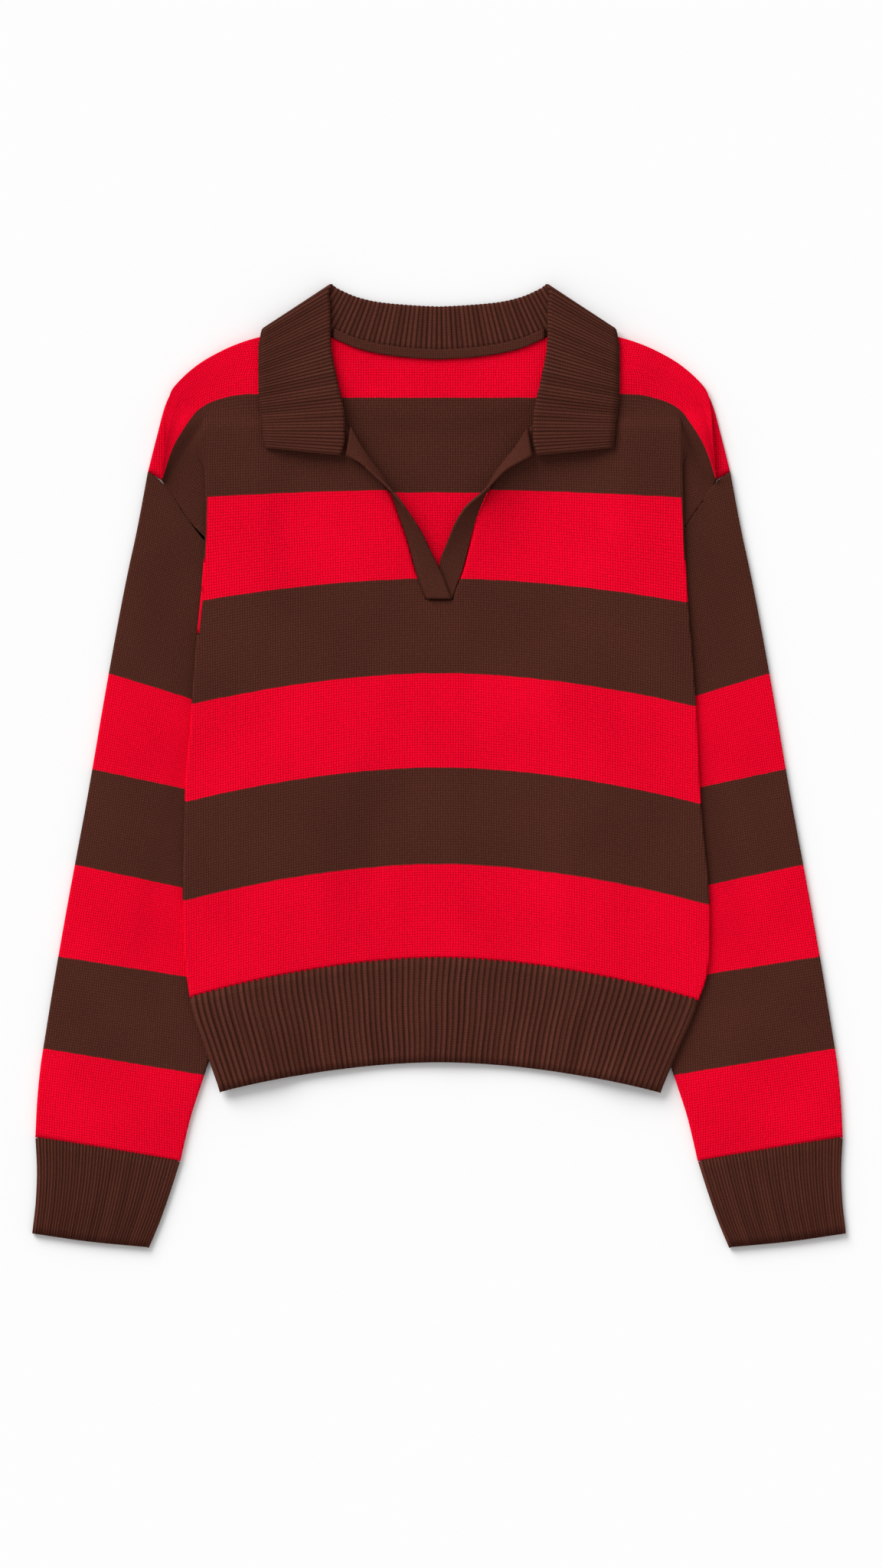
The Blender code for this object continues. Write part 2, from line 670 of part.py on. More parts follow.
# ---- Collar, placket and tape ----------------------------------------------------------
def toward(a, b, reach):
    """A point at reach from a on the way to b."""
    return mix(a, b, reach / math.dist(a, b))


def collar_station(seam, fold, edge, wrap, heights):
    """From the neck seam up the stand, round the fold and down the leaf.

    wrap is 1 where the leaf lies on the stand, -1 where it lies under it, and between
    them where it goes round the shoulder.  heights are those of seam, fold and edge.
    """
    seam_z, fold_z, edge_z = heights
    stand = (*toward(fold, seam, RIB_TURN), fold_z - wrap * RIB_TURN)
    leaf = (*toward(fold, edge, RIB_TURN), fold_z + wrap * RIB_TURN)
    end = (*edge, edge_z)
    x, y, z = mix(leaf, end, 0.5)
    if wrap == 1.0:
        z = max(z, front_height(x, y) + ON_PANEL)
    return [(*seam, seam_z), stand, (*fold, fold_z), leaf, (x, y, z), end]


def make_collar():
    steps = 2 * LEAF_RIBS
    stations = []
    for step in range(steps + 1):
        part = step / steps
        seam = on_path(NECK_FRONT, part)
        fold = on_path(FOLD_FRONT, part)
        edge = on_path(LEAF_FRONT, part)
        rise = curve(np.linspace(0, 1, len(FOLD_RISE)), np.array(FOLD_RISE), part)
        on_panel = 1.0 - smooth((part - 0.3) / 0.25)
        heights = (front_height(*seam) + on_panel * ON_PANEL, rise,
                   front_height(*edge) + ON_PANEL)
        stations.append(collar_station(seam, fold, edge, 1.0, heights))
    front_end = len(stations) - 1

    front_heights = heights
    back_heights = (LEAF_STACK + RIDGE / 2, LEAF_STACK - GAP / 2, RIDGE / 2)
    peak = mix(mix(FOLD_FRONT[-1], FOLD_BACK[0], 0.5), (-85, 377.6), 0.75)
    for step in range(1, 6):
        part = step / 6
        angle = math.pi * (0.5 - part)
        reach = math.cos(angle)
        fold = mix(mix(FOLD_FRONT[-1], FOLD_BACK[0], part), peak, reach)
        edge = mix(LEAF_FRONT[-1], LEAF_BACK[0], part)
        edge = (edge[0] + 0.8 * reach, edge[1] + 4.2 * reach)
        seam = mix(NECK_FRONT[-1], NECK_BACK[0], part)
        level = (front_heights[2] + back_heights[2]) / 2
        swing = (front_heights[2] - back_heights[2]) / 2
        heights = (front_heights[0] + (back_heights[0] - front_heights[0]) * smooth(part),
                   front_heights[1] + (back_heights[1] - front_heights[1]) * smooth(part),
                   level + swing * math.sin(angle))
        stations.append(collar_station(seam, fold, edge, math.sin(angle), heights))
    back_start = len(stations)

    steps = 2 * STAND_RIBS
    for step in range(steps + 1):
        part = step / steps
        stations.append(collar_station(on_path(NECK_BACK, part), on_path(FOLD_BACK, part),
                                       on_path(LEAF_BACK, part), -1.0, back_heights))

    def share(r, c):
        ribbed = c >= 2 if r <= front_end else c <= 2
        if back_start > r > front_end or not ribbed:
            return 1.0
        return VALLEY / RIDGE if r % 2 else 1.0

    piece("collar", stations, BROWN, share=share, wall=RIDGE, mirror=True)


def make_band(name, table, sign):
    """A placket band, from the seam on the front panel across to its free edge."""
    rows = []
    for band in table[::-1]:
        seam = (band.seam_x, band.seam_y, band.seam_z)
        raised = (band.seam_x, band.seam_y, band.seam_z + band.step)
        free = (band.free_x, band.free_y, band.free_z)
        row = [seam, mix(raised, free, 0.16), mix(raised, free, 0.55), free]
        rows.append(row if sign < 0 else row[::-1])
    piece(name, rows, BROWN)


def make_tape():
    """Plain tape over the back neck seam, from one folded edge of the collar to the other."""
    level = LEAF_STACK + RIDGE + GAP + TAPE / 2
    points = []
    for step in range(13):
        x, y = on_path(NECK_BACK[1:], step / 12)
        points.append((x + 2.4 * (1 - step / 12), y))
    points += mirrored(points[:-1][::-1])
    rows = [[(x, y + 5.4, level) for x, y in points], [(x, y - 2.4, level) for x, y in points]]
    piece("neck_tape", rows, BROWN, wall=TAPE)


for old in list(bpy.data.objects):
    bpy.data.objects.remove(old, do_unlink=True)
SWEATER = bpy.data.collections.new("sweater")
bpy.context.scene.collection.children.link(SWEATER)

make_front()
make_back()
make_hems()
make_sleeve("left_sleeve", -1)
make_sleeve("right_sleeve", 1)
make_cuff("left_cuff", -1)
make_cuff("right_cuff", 1)
make_collar()
make_band("placket_left", LEFT_BAND, -1)
make_band("placket_right", RIGHT_BAND, 1)
make_tape()
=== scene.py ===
"""A striped knit sweater with a ribbed polo collar, laid flat, as the photograph shows it.

Each piece of cloth is lofted again through the part's own tables, finely enough for its
ribs and folds.  Lengths are in millimetres up to cloth(), which makes them metres, with
+Y towards the collar, +Z up and the floor at z = 0.  The knit's own coordinates run
across the wales (u) and along them (v), and the stripes and stitches follow them.
"""

import math
from collections import namedtuple

import bmesh
import bpy
import numpy as np
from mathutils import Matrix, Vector


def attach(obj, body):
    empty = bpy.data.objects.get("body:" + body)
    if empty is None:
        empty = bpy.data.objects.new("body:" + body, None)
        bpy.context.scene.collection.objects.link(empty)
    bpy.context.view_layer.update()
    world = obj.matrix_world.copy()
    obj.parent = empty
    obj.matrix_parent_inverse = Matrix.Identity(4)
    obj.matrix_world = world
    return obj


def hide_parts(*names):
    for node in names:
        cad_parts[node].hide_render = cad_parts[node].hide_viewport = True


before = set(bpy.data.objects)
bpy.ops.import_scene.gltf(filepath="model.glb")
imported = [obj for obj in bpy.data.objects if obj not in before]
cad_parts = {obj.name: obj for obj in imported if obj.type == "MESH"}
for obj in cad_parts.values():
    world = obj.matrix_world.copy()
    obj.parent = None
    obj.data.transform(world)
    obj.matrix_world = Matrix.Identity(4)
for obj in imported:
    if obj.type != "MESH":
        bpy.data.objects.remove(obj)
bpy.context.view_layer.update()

# ---- Driving dimensions, in millimetres ----
MM = 0.001
WALL = 2.0  # jersey of the body and sleeves, and the plain bands
RIDGE = 2.6  # ribbed cloth, at the top of a rib
VALLEY = 1.7  # ribbed cloth, between two ribs
TAPE = 1.2  # the plain tape over the back neck seam
GAP = 0.3  # between neighbouring pieces
SEAM_ROOM = 0.6  # between pieces whose seam curves
NECK_ROOM = 1.6  # between the body panels and the collar, at the neckline
LAYER = WALL + GAP  # rise from one layer of cloth to the next
TURN = LAYER / 2  # radius of a folded edge, at the middle of the wall
RIB_TURN = (RIDGE + GAP) / 2  # the same in the collar
BACK_LEVEL = WALL / 2  # middle of the back panel, where it lies on the floor
FRONT_LEVEL = BACK_LEVEL + LAYER  # middle of the front panel, lying on the back
SLEEVE_STACK = 2 * LAYER  # a flattened sleeve, with the gap on it
LEAF_STACK = RIDGE + GAP  # the collar's back leaf, with the gap on it
FOLD_INSET = WALL / 2 + TURN  # from a folded edge to where the cloth lies flat
ON_PANEL = RIDGE / 2 + 2 * GAP + WALL / 2  # from the middle of a panel to ribbed cloth on it
NOSE = 0.87  # reach of a folded edge's two points, in radii

HEM_RIBS = 85  # across the front
CUFF_RIBS = 42  # across the upper side
LEAF_RIBS = 44  # on each front leaf of the collar
STAND_RIBS = 24  # on each half of the back of the collar
CORNER_RIBS = 4  # round each upper corner of the collar


# ---- Outlines and folds, a row for each place along them ----
Place = namedtuple("Place", "x y")
Side = namedtuple("Side", "y left right")
Course = namedtuple("Course", "centre droop")
Lift = namedtuple("Lift", "y rise")
Fold = namedtuple("Fold", "x_top x_bottom height width")
Seam = namedtuple("Seam", "y x")
Pleat = namedtuple("Pleat", "centre overlap armhole")
Band = namedtuple("Band", "seam_x seam_y seam_z step free_x free_y free_z")
Slant = namedtuple("Slant", "y slant")


def rows_of(kind, *rows):
    return [kind(*row) for row in rows]


# The body's folded sides, from the top of the pleat down to the hem's corners.
BODY_SIDES = rows_of(Side, (283, -185.6, 189.4), (229, -183, 191.2), (187, -183.5, 192.4),
    (145, -185.9, 194.2), (91, -191, 198.5), (40, -194.6, 202), (-23, -199.4, 205),
    (-75, -200.4, 209.6), (-107, -201.2, 212.2), (-149, -199.4, 212.2), (-186, -194.6, 202.6),
    (-222, -183.2, 187.6), (-255, -171.8, 173.8))

# How far a course of stitches sinks at DROOP_X from the middle, by its height there.
DROOP_X = 174.0
DROOP_POWER = 1.8
COURSES = rows_of(Course, (292, 3), (217, 5.5), (148, 15.5), (73, 20), (-1, 21.3),
    (-76, 22.5), (-150, 25), (-232, 23.4))
HEM_SEAM = -150.3  # height of the seam over the hem ribbing, at the middle
HEM_END = -231.6  # height of the garment's lower end, at the middle

# Outer edge of the shoulder, from the neck to the armhole.
SHOULDER = rows_of(Place, (-112, 344), (-126, 340.5), (-140, 336.9), (-152, 333.5),
    (-166, 328), (-179, 321.3), (-192, 312.9), (-202, 303.9), (-211, 291.9), (-218, 271),
    (-223.4, 250), (-228.2, 231))
# The front panel leaves that edge where the shoulder seam turns in over the back.
FRONT_SHOULDER = SHOULDER[:9] + rows_of(Place, (-213.6, 277), (-214.6, 262), (-215.6, 245),
    (-216.6, 231))
# The course on the front panel whose outer end meets the end of the shoulder.
SHOULDER_CENTRE = 292.5
SHOULDER_COURSE = rows_of(Place, (-106, SHOULDER_CENTRE), (-137, 293), (-155, 292.5),
    (-173, 288.5), (-185.6, 282.9), (-196.4, 271), (-209, 250), (-217.2, 226.5))
# Shares of those two lines beside the body's main columns.
MAIN_SHARES = (0.63, 0.60)
# The armhole seam, running down under the body to the underarm.
ARMHOLE = rows_of(Place, (-218, 224), (-210.8, 212), (-195.8, 191), (-186.8, 179),
    (-170, 156), (-166, 104), (-134, 60), (-94, 32))
ARMHOLE_STEP = Place(0.8, 0.9)  # from that seam to the sleeve's edge
SHOULDER_STEP = Place(0.3, 1.4)  # the same at the outer end of the shoulder
SLEEVE_OUTER = rows_of(Place, (-228.6, 230), (-236.6, 187), (-245.6, 145), (-261.2, 61),
    (-275.6, -23), (-291.2, -107), (-305.6, -191), (-314.6, -254), (-316.6, -290.4))
SLEEVE_INNER = rows_of(Place, (-94, 32), (-136, -95), (-183.2, -240), (-194.6, -275),
    (-202.6, -309.2))
CUFF_OUTER = rows_of(Place, (-316.6, -290.8), (-315.4, -317), (-316.2, -338),
    (-319.2, -365.7))
CUFF_INNER = rows_of(Place, (-202.8, -309.6), (-209.6, -331), (-218, -355), (-227, -376.65))
# The middles of the sleeve's lower end and of the cuff's two ends, which are curved.
SLEEVE_END = Place(-263, -299.6)
CUFF_TOP = Place(-263, -299.1)
CUFF_END = Place(-272, -372.4)
CUFF_DEPTH = 80.0

# The neckline, from the front end of the collar round to the middle of the back.
NECK_FRONT = rows_of(Place, (-80.5, 277), (-94, 283), (-107, 294), (-114, 308), (-117, 325),
    (-112, 344.4))
NECK_BACK = rows_of(Place, (-98, 345), (-84.8, 338), (-65, 330), (-44, 325.4), (-20, 322.6),
    (0, 321.6))
# The collar's folded edge and the free edge of its leaf, in the same order.
FOLD_FRONT = rows_of(Place, (-77.4, 243.8), (-74.6, 257), (-75, 274.5), (-80.6, 302),
    (-85.8, 332), (-86.2, 360), (-87.8, 372.4))
FOLD_BACK = rows_of(Place, (-80.6, 374), (-65, 367.2), (-47, 363), (-29, 361.2),
    (-11, 360), (0, 359.6))
LEAF_FRONT = rows_of(Place, (-136.4, 249.9), (-138.8, 270), (-141.5, 296), (-141.5, 328),
    (-139.4, 340.4))
LEAF_BACK = rows_of(Place, (-135, 338), (-131, 322), (-112, 309), (-84, 302), (-44, 299),
    (0, 298))
# The collar's upper corner: the middle of its fold, and how far the leaf bulges there.
PEAK = Place(-84.8, 378)
LEAF_BULGE = Place(0.8, 4.2)
# Height of the middle of the fold, evenly along the front half of the collar.
FOLD_RISE = [13.2, 12.6, 11.6, 10.2, 9.0, 8.3, 7.7]

# How far the front panel's edge rises round the turned-out V and under the collar.
NECK_LIFTS = rows_of(Lift, (131, 0), (144, 0.3), (156, 0.8), (170, 1.5), (183, 2.4),
    (202, 3.8), (213, 4.6), (225, 5.1), (236, 5.1), (249, 4.6), (262, 3.7), (277, 2.2),
    (285, 1.3), (294, 0.6), (305, 0.2), (320, 0))
NECK_LIFT_REACH = 27.0

# Soft folds of the front, from the placket down to the hem.
SOFT_FOLDS = rows_of(Fold, (-98, -92, 2.2, 28), (-2, 6, 2.6, 26), (100, 112, 2.2, 28))
FOLDS_TOP = 150.0
FOLDS_LENGTH = 300.0
FOLDS_FADE_IN = 110.0
FOLDS_LEFT = 0.45  # share of their height that is left at the hem
FOLDS_END = -235.0
FOLDS_FADE_OUT = 120.0

# Rows of the pleat where the drop shoulder goes in under the body: the row's height at
# the middle, how far its overlap is made, and its outer end's share of PLEAT_ARMHOLE,
# the length of the armhole that these rows end on.
PLEATS = rows_of(Pleat, (278, 0.00, 0.05), (268, 0.08, 0.12), (256, 0.30, 0.22),
    (243, 0.55, 0.34), (228, 0.80, 0.48), (211, 0.95, 0.64), (193, 1.00, 0.82),
    (176, 1.00, 1.00))
PLEAT_ARMHOLE = 82.0
# The side seams under the body, as far in as the front's folded sides reach under it.
SIDE_SEAMS = rows_of(Seam, (300, 155), (150, 155), (91, 160), (-23, 173), (-149, 182),
    (-186, 179), (-222, 168), (-255, 158))
PLEAT_REACH = 37.0  # from the folded side in to the pleat's inner fold, at the most
PLEAT_FALL = 40.0  # over which the front comes down beside the pleat
PLEAT_TOP = 284.0
PLEAT_SPAN = 24.0  # over which it rises from the pleat's top
CORNER_TOP = -247.0  # the hem's corners sink from here
CORNER_SPAN = 14.0

# The placket bands, from the foot of the V up to the collar.  step is how far a band
# rises at once from its seam, to lie over the other band.
LEFT_BAND = rows_of(Band,
    (-9.6, 131.5, 3.3, 2.5, 9.4, 131.5, 5.9),
    (-14.6, 143.7, 3.6, 2.4, 5.2, 143.7, 6.2),
    (-18.5, 156.3, 4.1, 2, -0.2, 156.3, 7.4),
    (-21.8, 169.5, 4.8, 1.4, -6.8, 169.5, 9.6),
    (-25.7, 182.7, 5.7, 0.8, -13.4, 182.7, 12.4),
    (-29.3, 192.9, 6.4, 0.4, -20, 192.9, 14.8),
    (-32.4, 202, 7.1, 0.2, -25.9, 201.5, 16.8),
    (-36.2, 213, 8.1, 0, -34.2, 212.6, 18.2),
    (-42, 224.5, 9.7, 0, -42.4, 221, 18.4),
    (-50.6, 235.5, 10.9, 0, -53, 230.4, 17.8),
    (-60, 249, 11.1, 0, -62.6, 238.4, 16.8),
    (-69.4, 266, 10.8, 0, -73, 243.4, 15.4))
RIGHT_BAND = rows_of(Band,
    (10, 131.5, 3.3, 0, -4.5, 131.5, 3.3),
    (13.6, 142, 3.5, 0, -3.5, 142, 3.5),
    (17.4, 152, 3.9, 0, -1.2, 152, 4),
    (20.9, 164, 4.4, 0, 1.6, 164, 5.4),
    (23.9, 177, 5.2, 0, 6.6, 176, 8.2),
    (27.2, 190, 6.2, 0, 12.4, 190, 11.6),
    (32.2, 204, 7.3, 0, 21.6, 204, 15),
    (36.6, 215, 8.3, 0, 33.4, 214, 17.2),
    (42, 226.5, 9.8, 0, 41.4, 222, 17.8),
    (51, 239, 10.9, 0, 51, 231.4, 17.4),
    (60, 250.5, 11.1, 0, 61.2, 237.4, 16.4),
    (69.4, 266, 10.8, 0, 72.8, 243.4, 15.4))
BAND_WIDTH = 19.0
UPRIGHT_ROOM = 0.7  # more room at its seam where a band stands on edge

# Shares of the way from the front's middle to its side where its columns stand.
MAIN = [0.0, 0.08, 0.2, 0.33, 0.46, 0.59, 0.72, 0.86, 1.0]
TAIL = 9  # points round the pleat and out to the armhole
RETURN = 4  # points of those that a row without the pleat has
UNDER_STEP = 0.5  # from a fold's start in to the first point under it
SHOULDER_FALL = 1.6  # how soon the drop shoulder comes down, over 1 being sooner
SHOULDER_ROWS = 4
FOOT_ROW = 131  # at the foot of the V
BODY_ROWS = [154, FOOT_ROW, 108, 84, 60, 36, 12, -12, -36, -60, -84, -108, -130]

# ---- The knit ----
RED = (0.93, 0.0015, 0.0235)
BROWN = (0.081, 0.0240, 0.0158)
# Where the stripes change colour, top first: on the body as courses' heights at the
# middle, on the sleeves as heights at the outer edge.
BODY_CHANGES = [291.3, 216.9, 147.3, 72.9, -0.9, -76.5]
SLEEVE_CHANGES = [72.9, -2.1, -77.1, -149.1, -221.1]
# The drop shoulder beside the pleat stays brown down to the armhole, and the layer under
# the left side shows as a red sliver between these heights.
SHOULDER_BROWN = 221.0
BROWN_BLEND = 6.0
SLIVER = (106.0, 139.0)
SLIVER_COURSE = 191.0
# How much a sleeve's courses slant down towards its inner edge.
SLEEVE_SLANTS = rows_of(Slant, (145, 0.33), (72.9, 0.31), (-2.1, 0.214), (-77.1, 0.214),
    (-149.1, 0.158), (-221.1, 0.167), (-290.7, 0.159))
HEM_ROWS = 12
RIB_WANDER = 0.35  # how far the hem's ribs stray sideways
WANDER_DOWN, WANDER_ACROSS = 9, 0.031
HEM_PITCH = 4.0
CUFF_PITCH = 2.6
LEAF_PITCH = 3.0
RIB_STEPS = 6  # columns of points a rib
RIB_FULLNESS = 0.7  # power of the sine across a rib's wall
HEM_LOOP = 1.3  # reach of a rib's first loop over the cloth it is joined to
CUFF_LOOP = 1.2
FINE = 6  # steps between two rows or columns of the body and sleeves

# The photograph's pixels on the floor.
PIXEL = 0.0006
MIDDLE_X, MIDDLE_Y = 573.4, 1001.5


# ---- Reading the tables ----
def smooth(share):
    """0 below 0, 1 above 1, and an even S between."""
    share = min(1.0, max(0.0, share))
    return share * share * (3 - 2 * share)


def mix(a, b, share):
    return tuple(p + (q - p) * share for p, q in zip(a, b))


def bend(t, a, b, slope_a, slope_b):
    """The curve from a to b with those slopes at its ends, at a share t of the way."""
    return ((1 + 2 * t) * (1 - t) ** 2 * a + t * (1 - t) ** 2 * slope_a
            + t * t * (3 - 2 * t) * b - t * t * (1 - t) * slope_b)


def curve(keys, values, at):
    """The value at a key, on a smooth curve that never overshoots its neighbours."""
    at = min(max(at, keys[0]), keys[-1])
    i = int(min(max(np.searchsorted(keys, at) - 1, 0), len(keys) - 2))
    steps = np.diff(keys)
    rises = np.diff(values) / steps
    slopes = np.zeros(len(keys))
    slopes[0], slopes[-1] = rises[0], rises[-1]
    for k in range(1, len(keys) - 1):
        if rises[k - 1] * rises[k] > 0:
            slopes[k] = 2 * rises[k - 1] * rises[k] / (rises[k - 1] + rises[k])
    slopes = slopes * steps[i]
    return bend((at - keys[i]) / steps[i], values[i], values[i + 1], slopes[i], slopes[i + 1])


def read(table, at, key, value):
    """One column of a table at a place in its key column."""
    rows = sorted((getattr(row, key), getattr(row, value)) for row in table)
    keys, values = np.array(rows, float).T
    return curve(keys, values, at)


def run_of(points):
    """Distance along a chain of points, at each of them."""
    steps = [math.dist(a, b) for a, b in zip(points, points[1:])]
    return np.concatenate([[0.0], np.cumsum(steps)])


def on_path(points, share):
    """The point at a share of a chain's length, on a smooth curve through it."""
    run = run_of(points)
    axes = range(len(points[0]))
    return tuple(curve(run, np.array([p[axis] for p in points], float), share * run[-1])
                 for axis in axes)


def between(a, b, steps):
    """Numbers from a to b in even steps."""
    return [a + (b - a) * share for share in evenly(steps)]


def moved(point, step, times=1.0):
    return tuple(p + s * times for p, s in zip(point, step))


def evenly(steps):
    """Shares from 0 to 1 in even steps."""
    return [step / steps for step in range(steps + 1)]


def mirrored(points):
    return [(-p[0], *p[1:]) for p in points]


# ---- Heights of the cloth ----
def beyond(chain, x, y):
    """Distance of a point from a chain, positive on its left as the chain runs."""
    best = (1e9, 1.0)
    for a, b in zip(chain, chain[1:]):
        run = (b[0] - a[0], b[1] - a[1])
        share = ((x - a[0]) * run[0] + (y - a[1]) * run[1]) / (run[0] ** 2 + run[1] ** 2)
        share = min(1.0, max(0.0, share))
        away = (x - a[0] - share * run[0], y - a[1] - share * run[1])
        turn_to = run[0] * away[1] - run[1] * away[0]
        best = min(best, (math.hypot(*away), 1.0 if turn_to > 0 else -1.0))
    return best[0] * best[1]


# The sleeve's inner side and the collar's hidden leaf, where the body starts to lie on them.
UNDERARM = ARMHOLE[4:] + SLEEVE_INNER[1:]
LEAF_REACH = [Place(-139, 352)] + LEAF_BACK
LEAF_LOWEST = 200.0


def body_side(y, sign):
    return read(BODY_SIDES, y, "y", "right" if sign > 0 else "left")


def over_sleeve(x, y, flat, fall, top, span):
    """1 where the body lies over a sleeve and flat beyond it, falling to 0 over fall.

    It starts over span below top, and lets the hem's corners down towards the floor.
    """
    away = beyond(UNDERARM, -abs(x), y)
    return smooth((top - y) / span) * smooth((flat + fall - away) / fall) * corner_drop(y)


def corner_drop(y):
    return 1.0 - 0.5 * smooth((CORNER_TOP - y) / CORNER_SPAN)


def over_leaf(x, y, flat, fall):
    """The same over the collar's back leaf, which lies under the body's two layers."""
    if y < LEAF_LOWEST:
        return 0.0
    away = -beyond(LEAF_REACH, -abs(x), y)
    return smooth((flat + fall - away) / fall)


def back_height(x, y):
    """Middle of the back panel, lifted by what lies under it."""
    rise = max(SLEEVE_STACK * over_sleeve(x, y, flat=25, fall=32, top=150, span=22),
               LEAF_STACK * over_leaf(x, y, flat=13, fall=30))
    return BACK_LEVEL + rise


def front_height(x, y):
    """Middle of the front panel's top layer."""
    in_from_side = abs(body_side(y, x)) - abs(x)
    pleat = smooth((PLEAT_REACH + PLEAT_FALL - in_from_side) / PLEAT_FALL)
    pleat *= smooth((PLEAT_TOP - y) / PLEAT_SPAN)
    rise = max(SLEEVE_STACK * over_sleeve(x, y, flat=24, fall=62, top=186, span=34),
               LEAF_STACK * over_leaf(x, y, flat=18, fall=38),
               SLEEVE_STACK * pleat * corner_drop(y))
    return FRONT_LEVEL + rise + neck_lift(x, y) + front_folds(x, y)


def neck_lift(x, y):
    edge = neck_edge(y, 1.0 if x > 0 else -1.0)
    near = math.exp(-(max(0.0, abs(x) - abs(edge)) / NECK_LIFT_REACH) ** 2)
    return read(NECK_LIFTS, y, "y", "rise") * near


def front_folds(x, y):
    """Soft folds, fading in below the placket and out towards the hem."""
    rise = 0.0
    for fold in SOFT_FOLDS:
        middle = fold.x_top + (fold.x_bottom - fold.x_top) * (FOLDS_TOP - y) / FOLDS_LENGTH
        rise += fold.height * math.exp(-((x - middle) / fold.width) ** 2)
    left = FOLDS_LEFT + (1 - FOLDS_LEFT) * smooth((y - FOLDS_END) / FOLDS_FADE_OUT)
    return rise * smooth((FOLDS_TOP - y) / FOLDS_FADE_IN) * left


def neck_edge(y, sign):
    """The front panel's inner edge: the V up to the collar, then the neckline."""
    bands = RIGHT_BAND if sign > 0 else LEFT_BAND
    seam = []
    for band in bands:
        upright = 1.0 - min(1.0, abs(band.free_x - band.seam_x) / BAND_WIDTH)
        room = 2 * SEAM_ROOM + UPRIGHT_ROOM * upright
        seam.append((band.seam_y, band.seam_x + sign * room))
    neck = [(p.y, -sign * (p.x - NECK_ROOM)) for p in NECK_FRONT]
    keys, values = np.array(seam + neck, float).T
    return curve(keys, values, y)


# ---- Knitted materials, in metres ----
JERSEY_STITCH = 0.0020
BAND_STITCH = 0.0018
RIB_STITCH = 0.0019
LOOP_SLANT = -0.35  # how far a loop's side leans along the knit, in courses
LOOP_EDGE = 0.35  # where a loop starts to fall away from its middle
COURSE_DEPTH = 0.85  # between two courses, where between two wales it is 1
CHANGE_ZIGZAG = 0.0009  # a change of colour follows the loops, strays and is soft
CHANGE_STRAY = 0.0012
CHANGE_BLUR = 0.0002
# Painted highlight on the ribs' tops and painted shade between them, as factors on the colour.
RIB_TOP_HIGHLIGHT = 1.2
RIB_VALLEY_SHADE = 0.34
STREAKS = (330.0, 6.0, 1.0)  # close across the ribs and long along them
# Noises by the metre: in patches, in the yarn, of the loops and of the colour changes.
PATCH_NOISE, YARN_NOISE, LOOP_NOISE, CHANGE_NOISE = 14.0, 420.0, 260.0, 90.0


class Knit:
    """A material drawn from the knit's own coordinates."""

    def __init__(self, name):
        self.made = bpy.data.materials.new(name)
        self.made.use_nodes = True
        self.tree = self.made.node_tree
        self.shader = self.tree.nodes["Principled BSDF"]
        self.shader.inputs["Roughness"].default_value = 0.85
        self.shader.inputs["Specular IOR Level"].default_value = 0.02
        self.place = self.node("UVMap", {}, uv_map="cloth")
        self.across = self.node("SeparateXYZ", {0: self.place}, "X")
        self.along = self.node("SeparateXYZ", {0: self.place}, "Y")

    def feed(self, socket, value):
        if isinstance(value, (int, float, tuple)):
            socket.default_value = value
        else:
            self.tree.links.new(value, socket)

    def node(self, kind, values, output=0, **settings):
        """What a new node gives out, with those settings and those values going in."""
        made = self.tree.nodes.new("ShaderNode" + kind)
        for name, setting in settings.items():
            setattr(made, name, setting)
        for socket, value in values.items():
            self.feed(made.inputs[socket], value)
        return made.outputs[output]

    def maths(self, operation, *values):
        return self.node("Math", dict(enumerate(values)), operation=operation)

    def zigzag(self, value):
        """0 at whole numbers and 1 halfway between them."""
        return self.maths("MULTIPLY", self.maths("PINGPONG", value, 0.5), 2.0)

    def ramp(self, value, low, high, out_low=0.0, out_high=1.0):
        """A smooth step from out_low at low to out_high at high."""
        values = dict(enumerate((value, low, high, out_low, out_high)))
        return self.node("MapRange", values, interpolation_type="SMOOTHSTEP")

    def noise(self, scale, detail=2.0, stretch=(1.0, 1.0, 1.0)):
        """Uneven cloth, the same wherever the coordinates are."""
        place = self.node("Mapping", {"Vector": self.place, "Scale": stretch})
        return self.node("TexNoise", {"Vector": place, "Scale": scale, "Detail": detail})

    def stray(self, scale, reach):
        """Noise to both sides of 0."""
        return self.maths("MULTIPLY", self.maths("SUBTRACT", self.noise(scale), 0.5), reach)

    def lit(self, colour, light):
        """The colour times the light."""
        return self.node("VectorMath", {0: colour, "Scale": light}, operation="SCALE")

    def stitches(self, wale, course):
        """Height of the loops, from 0 between them to 1, and how far across a wale."""
        wobble = self.stray(LOOP_NOISE, reach=0.7)
        across = self.maths("ADD", self.maths("DIVIDE", self.across, wale), wobble)
        along = self.maths("ADD", self.maths("DIVIDE", self.along, course), wobble)
        side = self.zigzag(across)
        strand = self.zigzag(self.maths("MULTIPLY_ADD", side, LOOP_SLANT, along))
        beside = self.ramp(side, LOOP_EDGE, 1.0)
        below = self.maths("MULTIPLY", self.ramp(strand, LOOP_EDGE, 1.0), COURSE_DEPTH)
        return self.maths("SUBTRACT", 1.0, self.maths("MAXIMUM", beside, below)), side

    def finish(self, colour, height, depth):
        """The colour, with the loops raised by depth in metres."""
        bump = self.node("Bump", {"Height": height, "Distance": depth, "Strength": 1.0})
        self.feed(self.shader.inputs["Base Color"], colour)
        self.feed(self.shader.inputs["Normal"], bump)
        return self.made


def shaded(knit, colour, height, low, patches):
    """The yarn's colour, with painted shade between the loops, and a little uneven over the
    cloth.
    """
    uneven = knit.ramp(knit.noise(PATCH_NOISE, 3.0), 0.3, 0.7, 1.0 - patches, 1.0 + patches)
    fine = knit.ramp(knit.noise(YARN_NOISE, 1.0), 0.25, 0.75, 0.93, 1.07)
    # Painted shade: the colour darkens between the loops, down to low.
    loops = knit.ramp(height, 0.0, 0.9, low, 1.04)
    return knit.lit(colour, knit.maths("MULTIPLY", knit.maths("MULTIPLY", uneven, fine), loops))


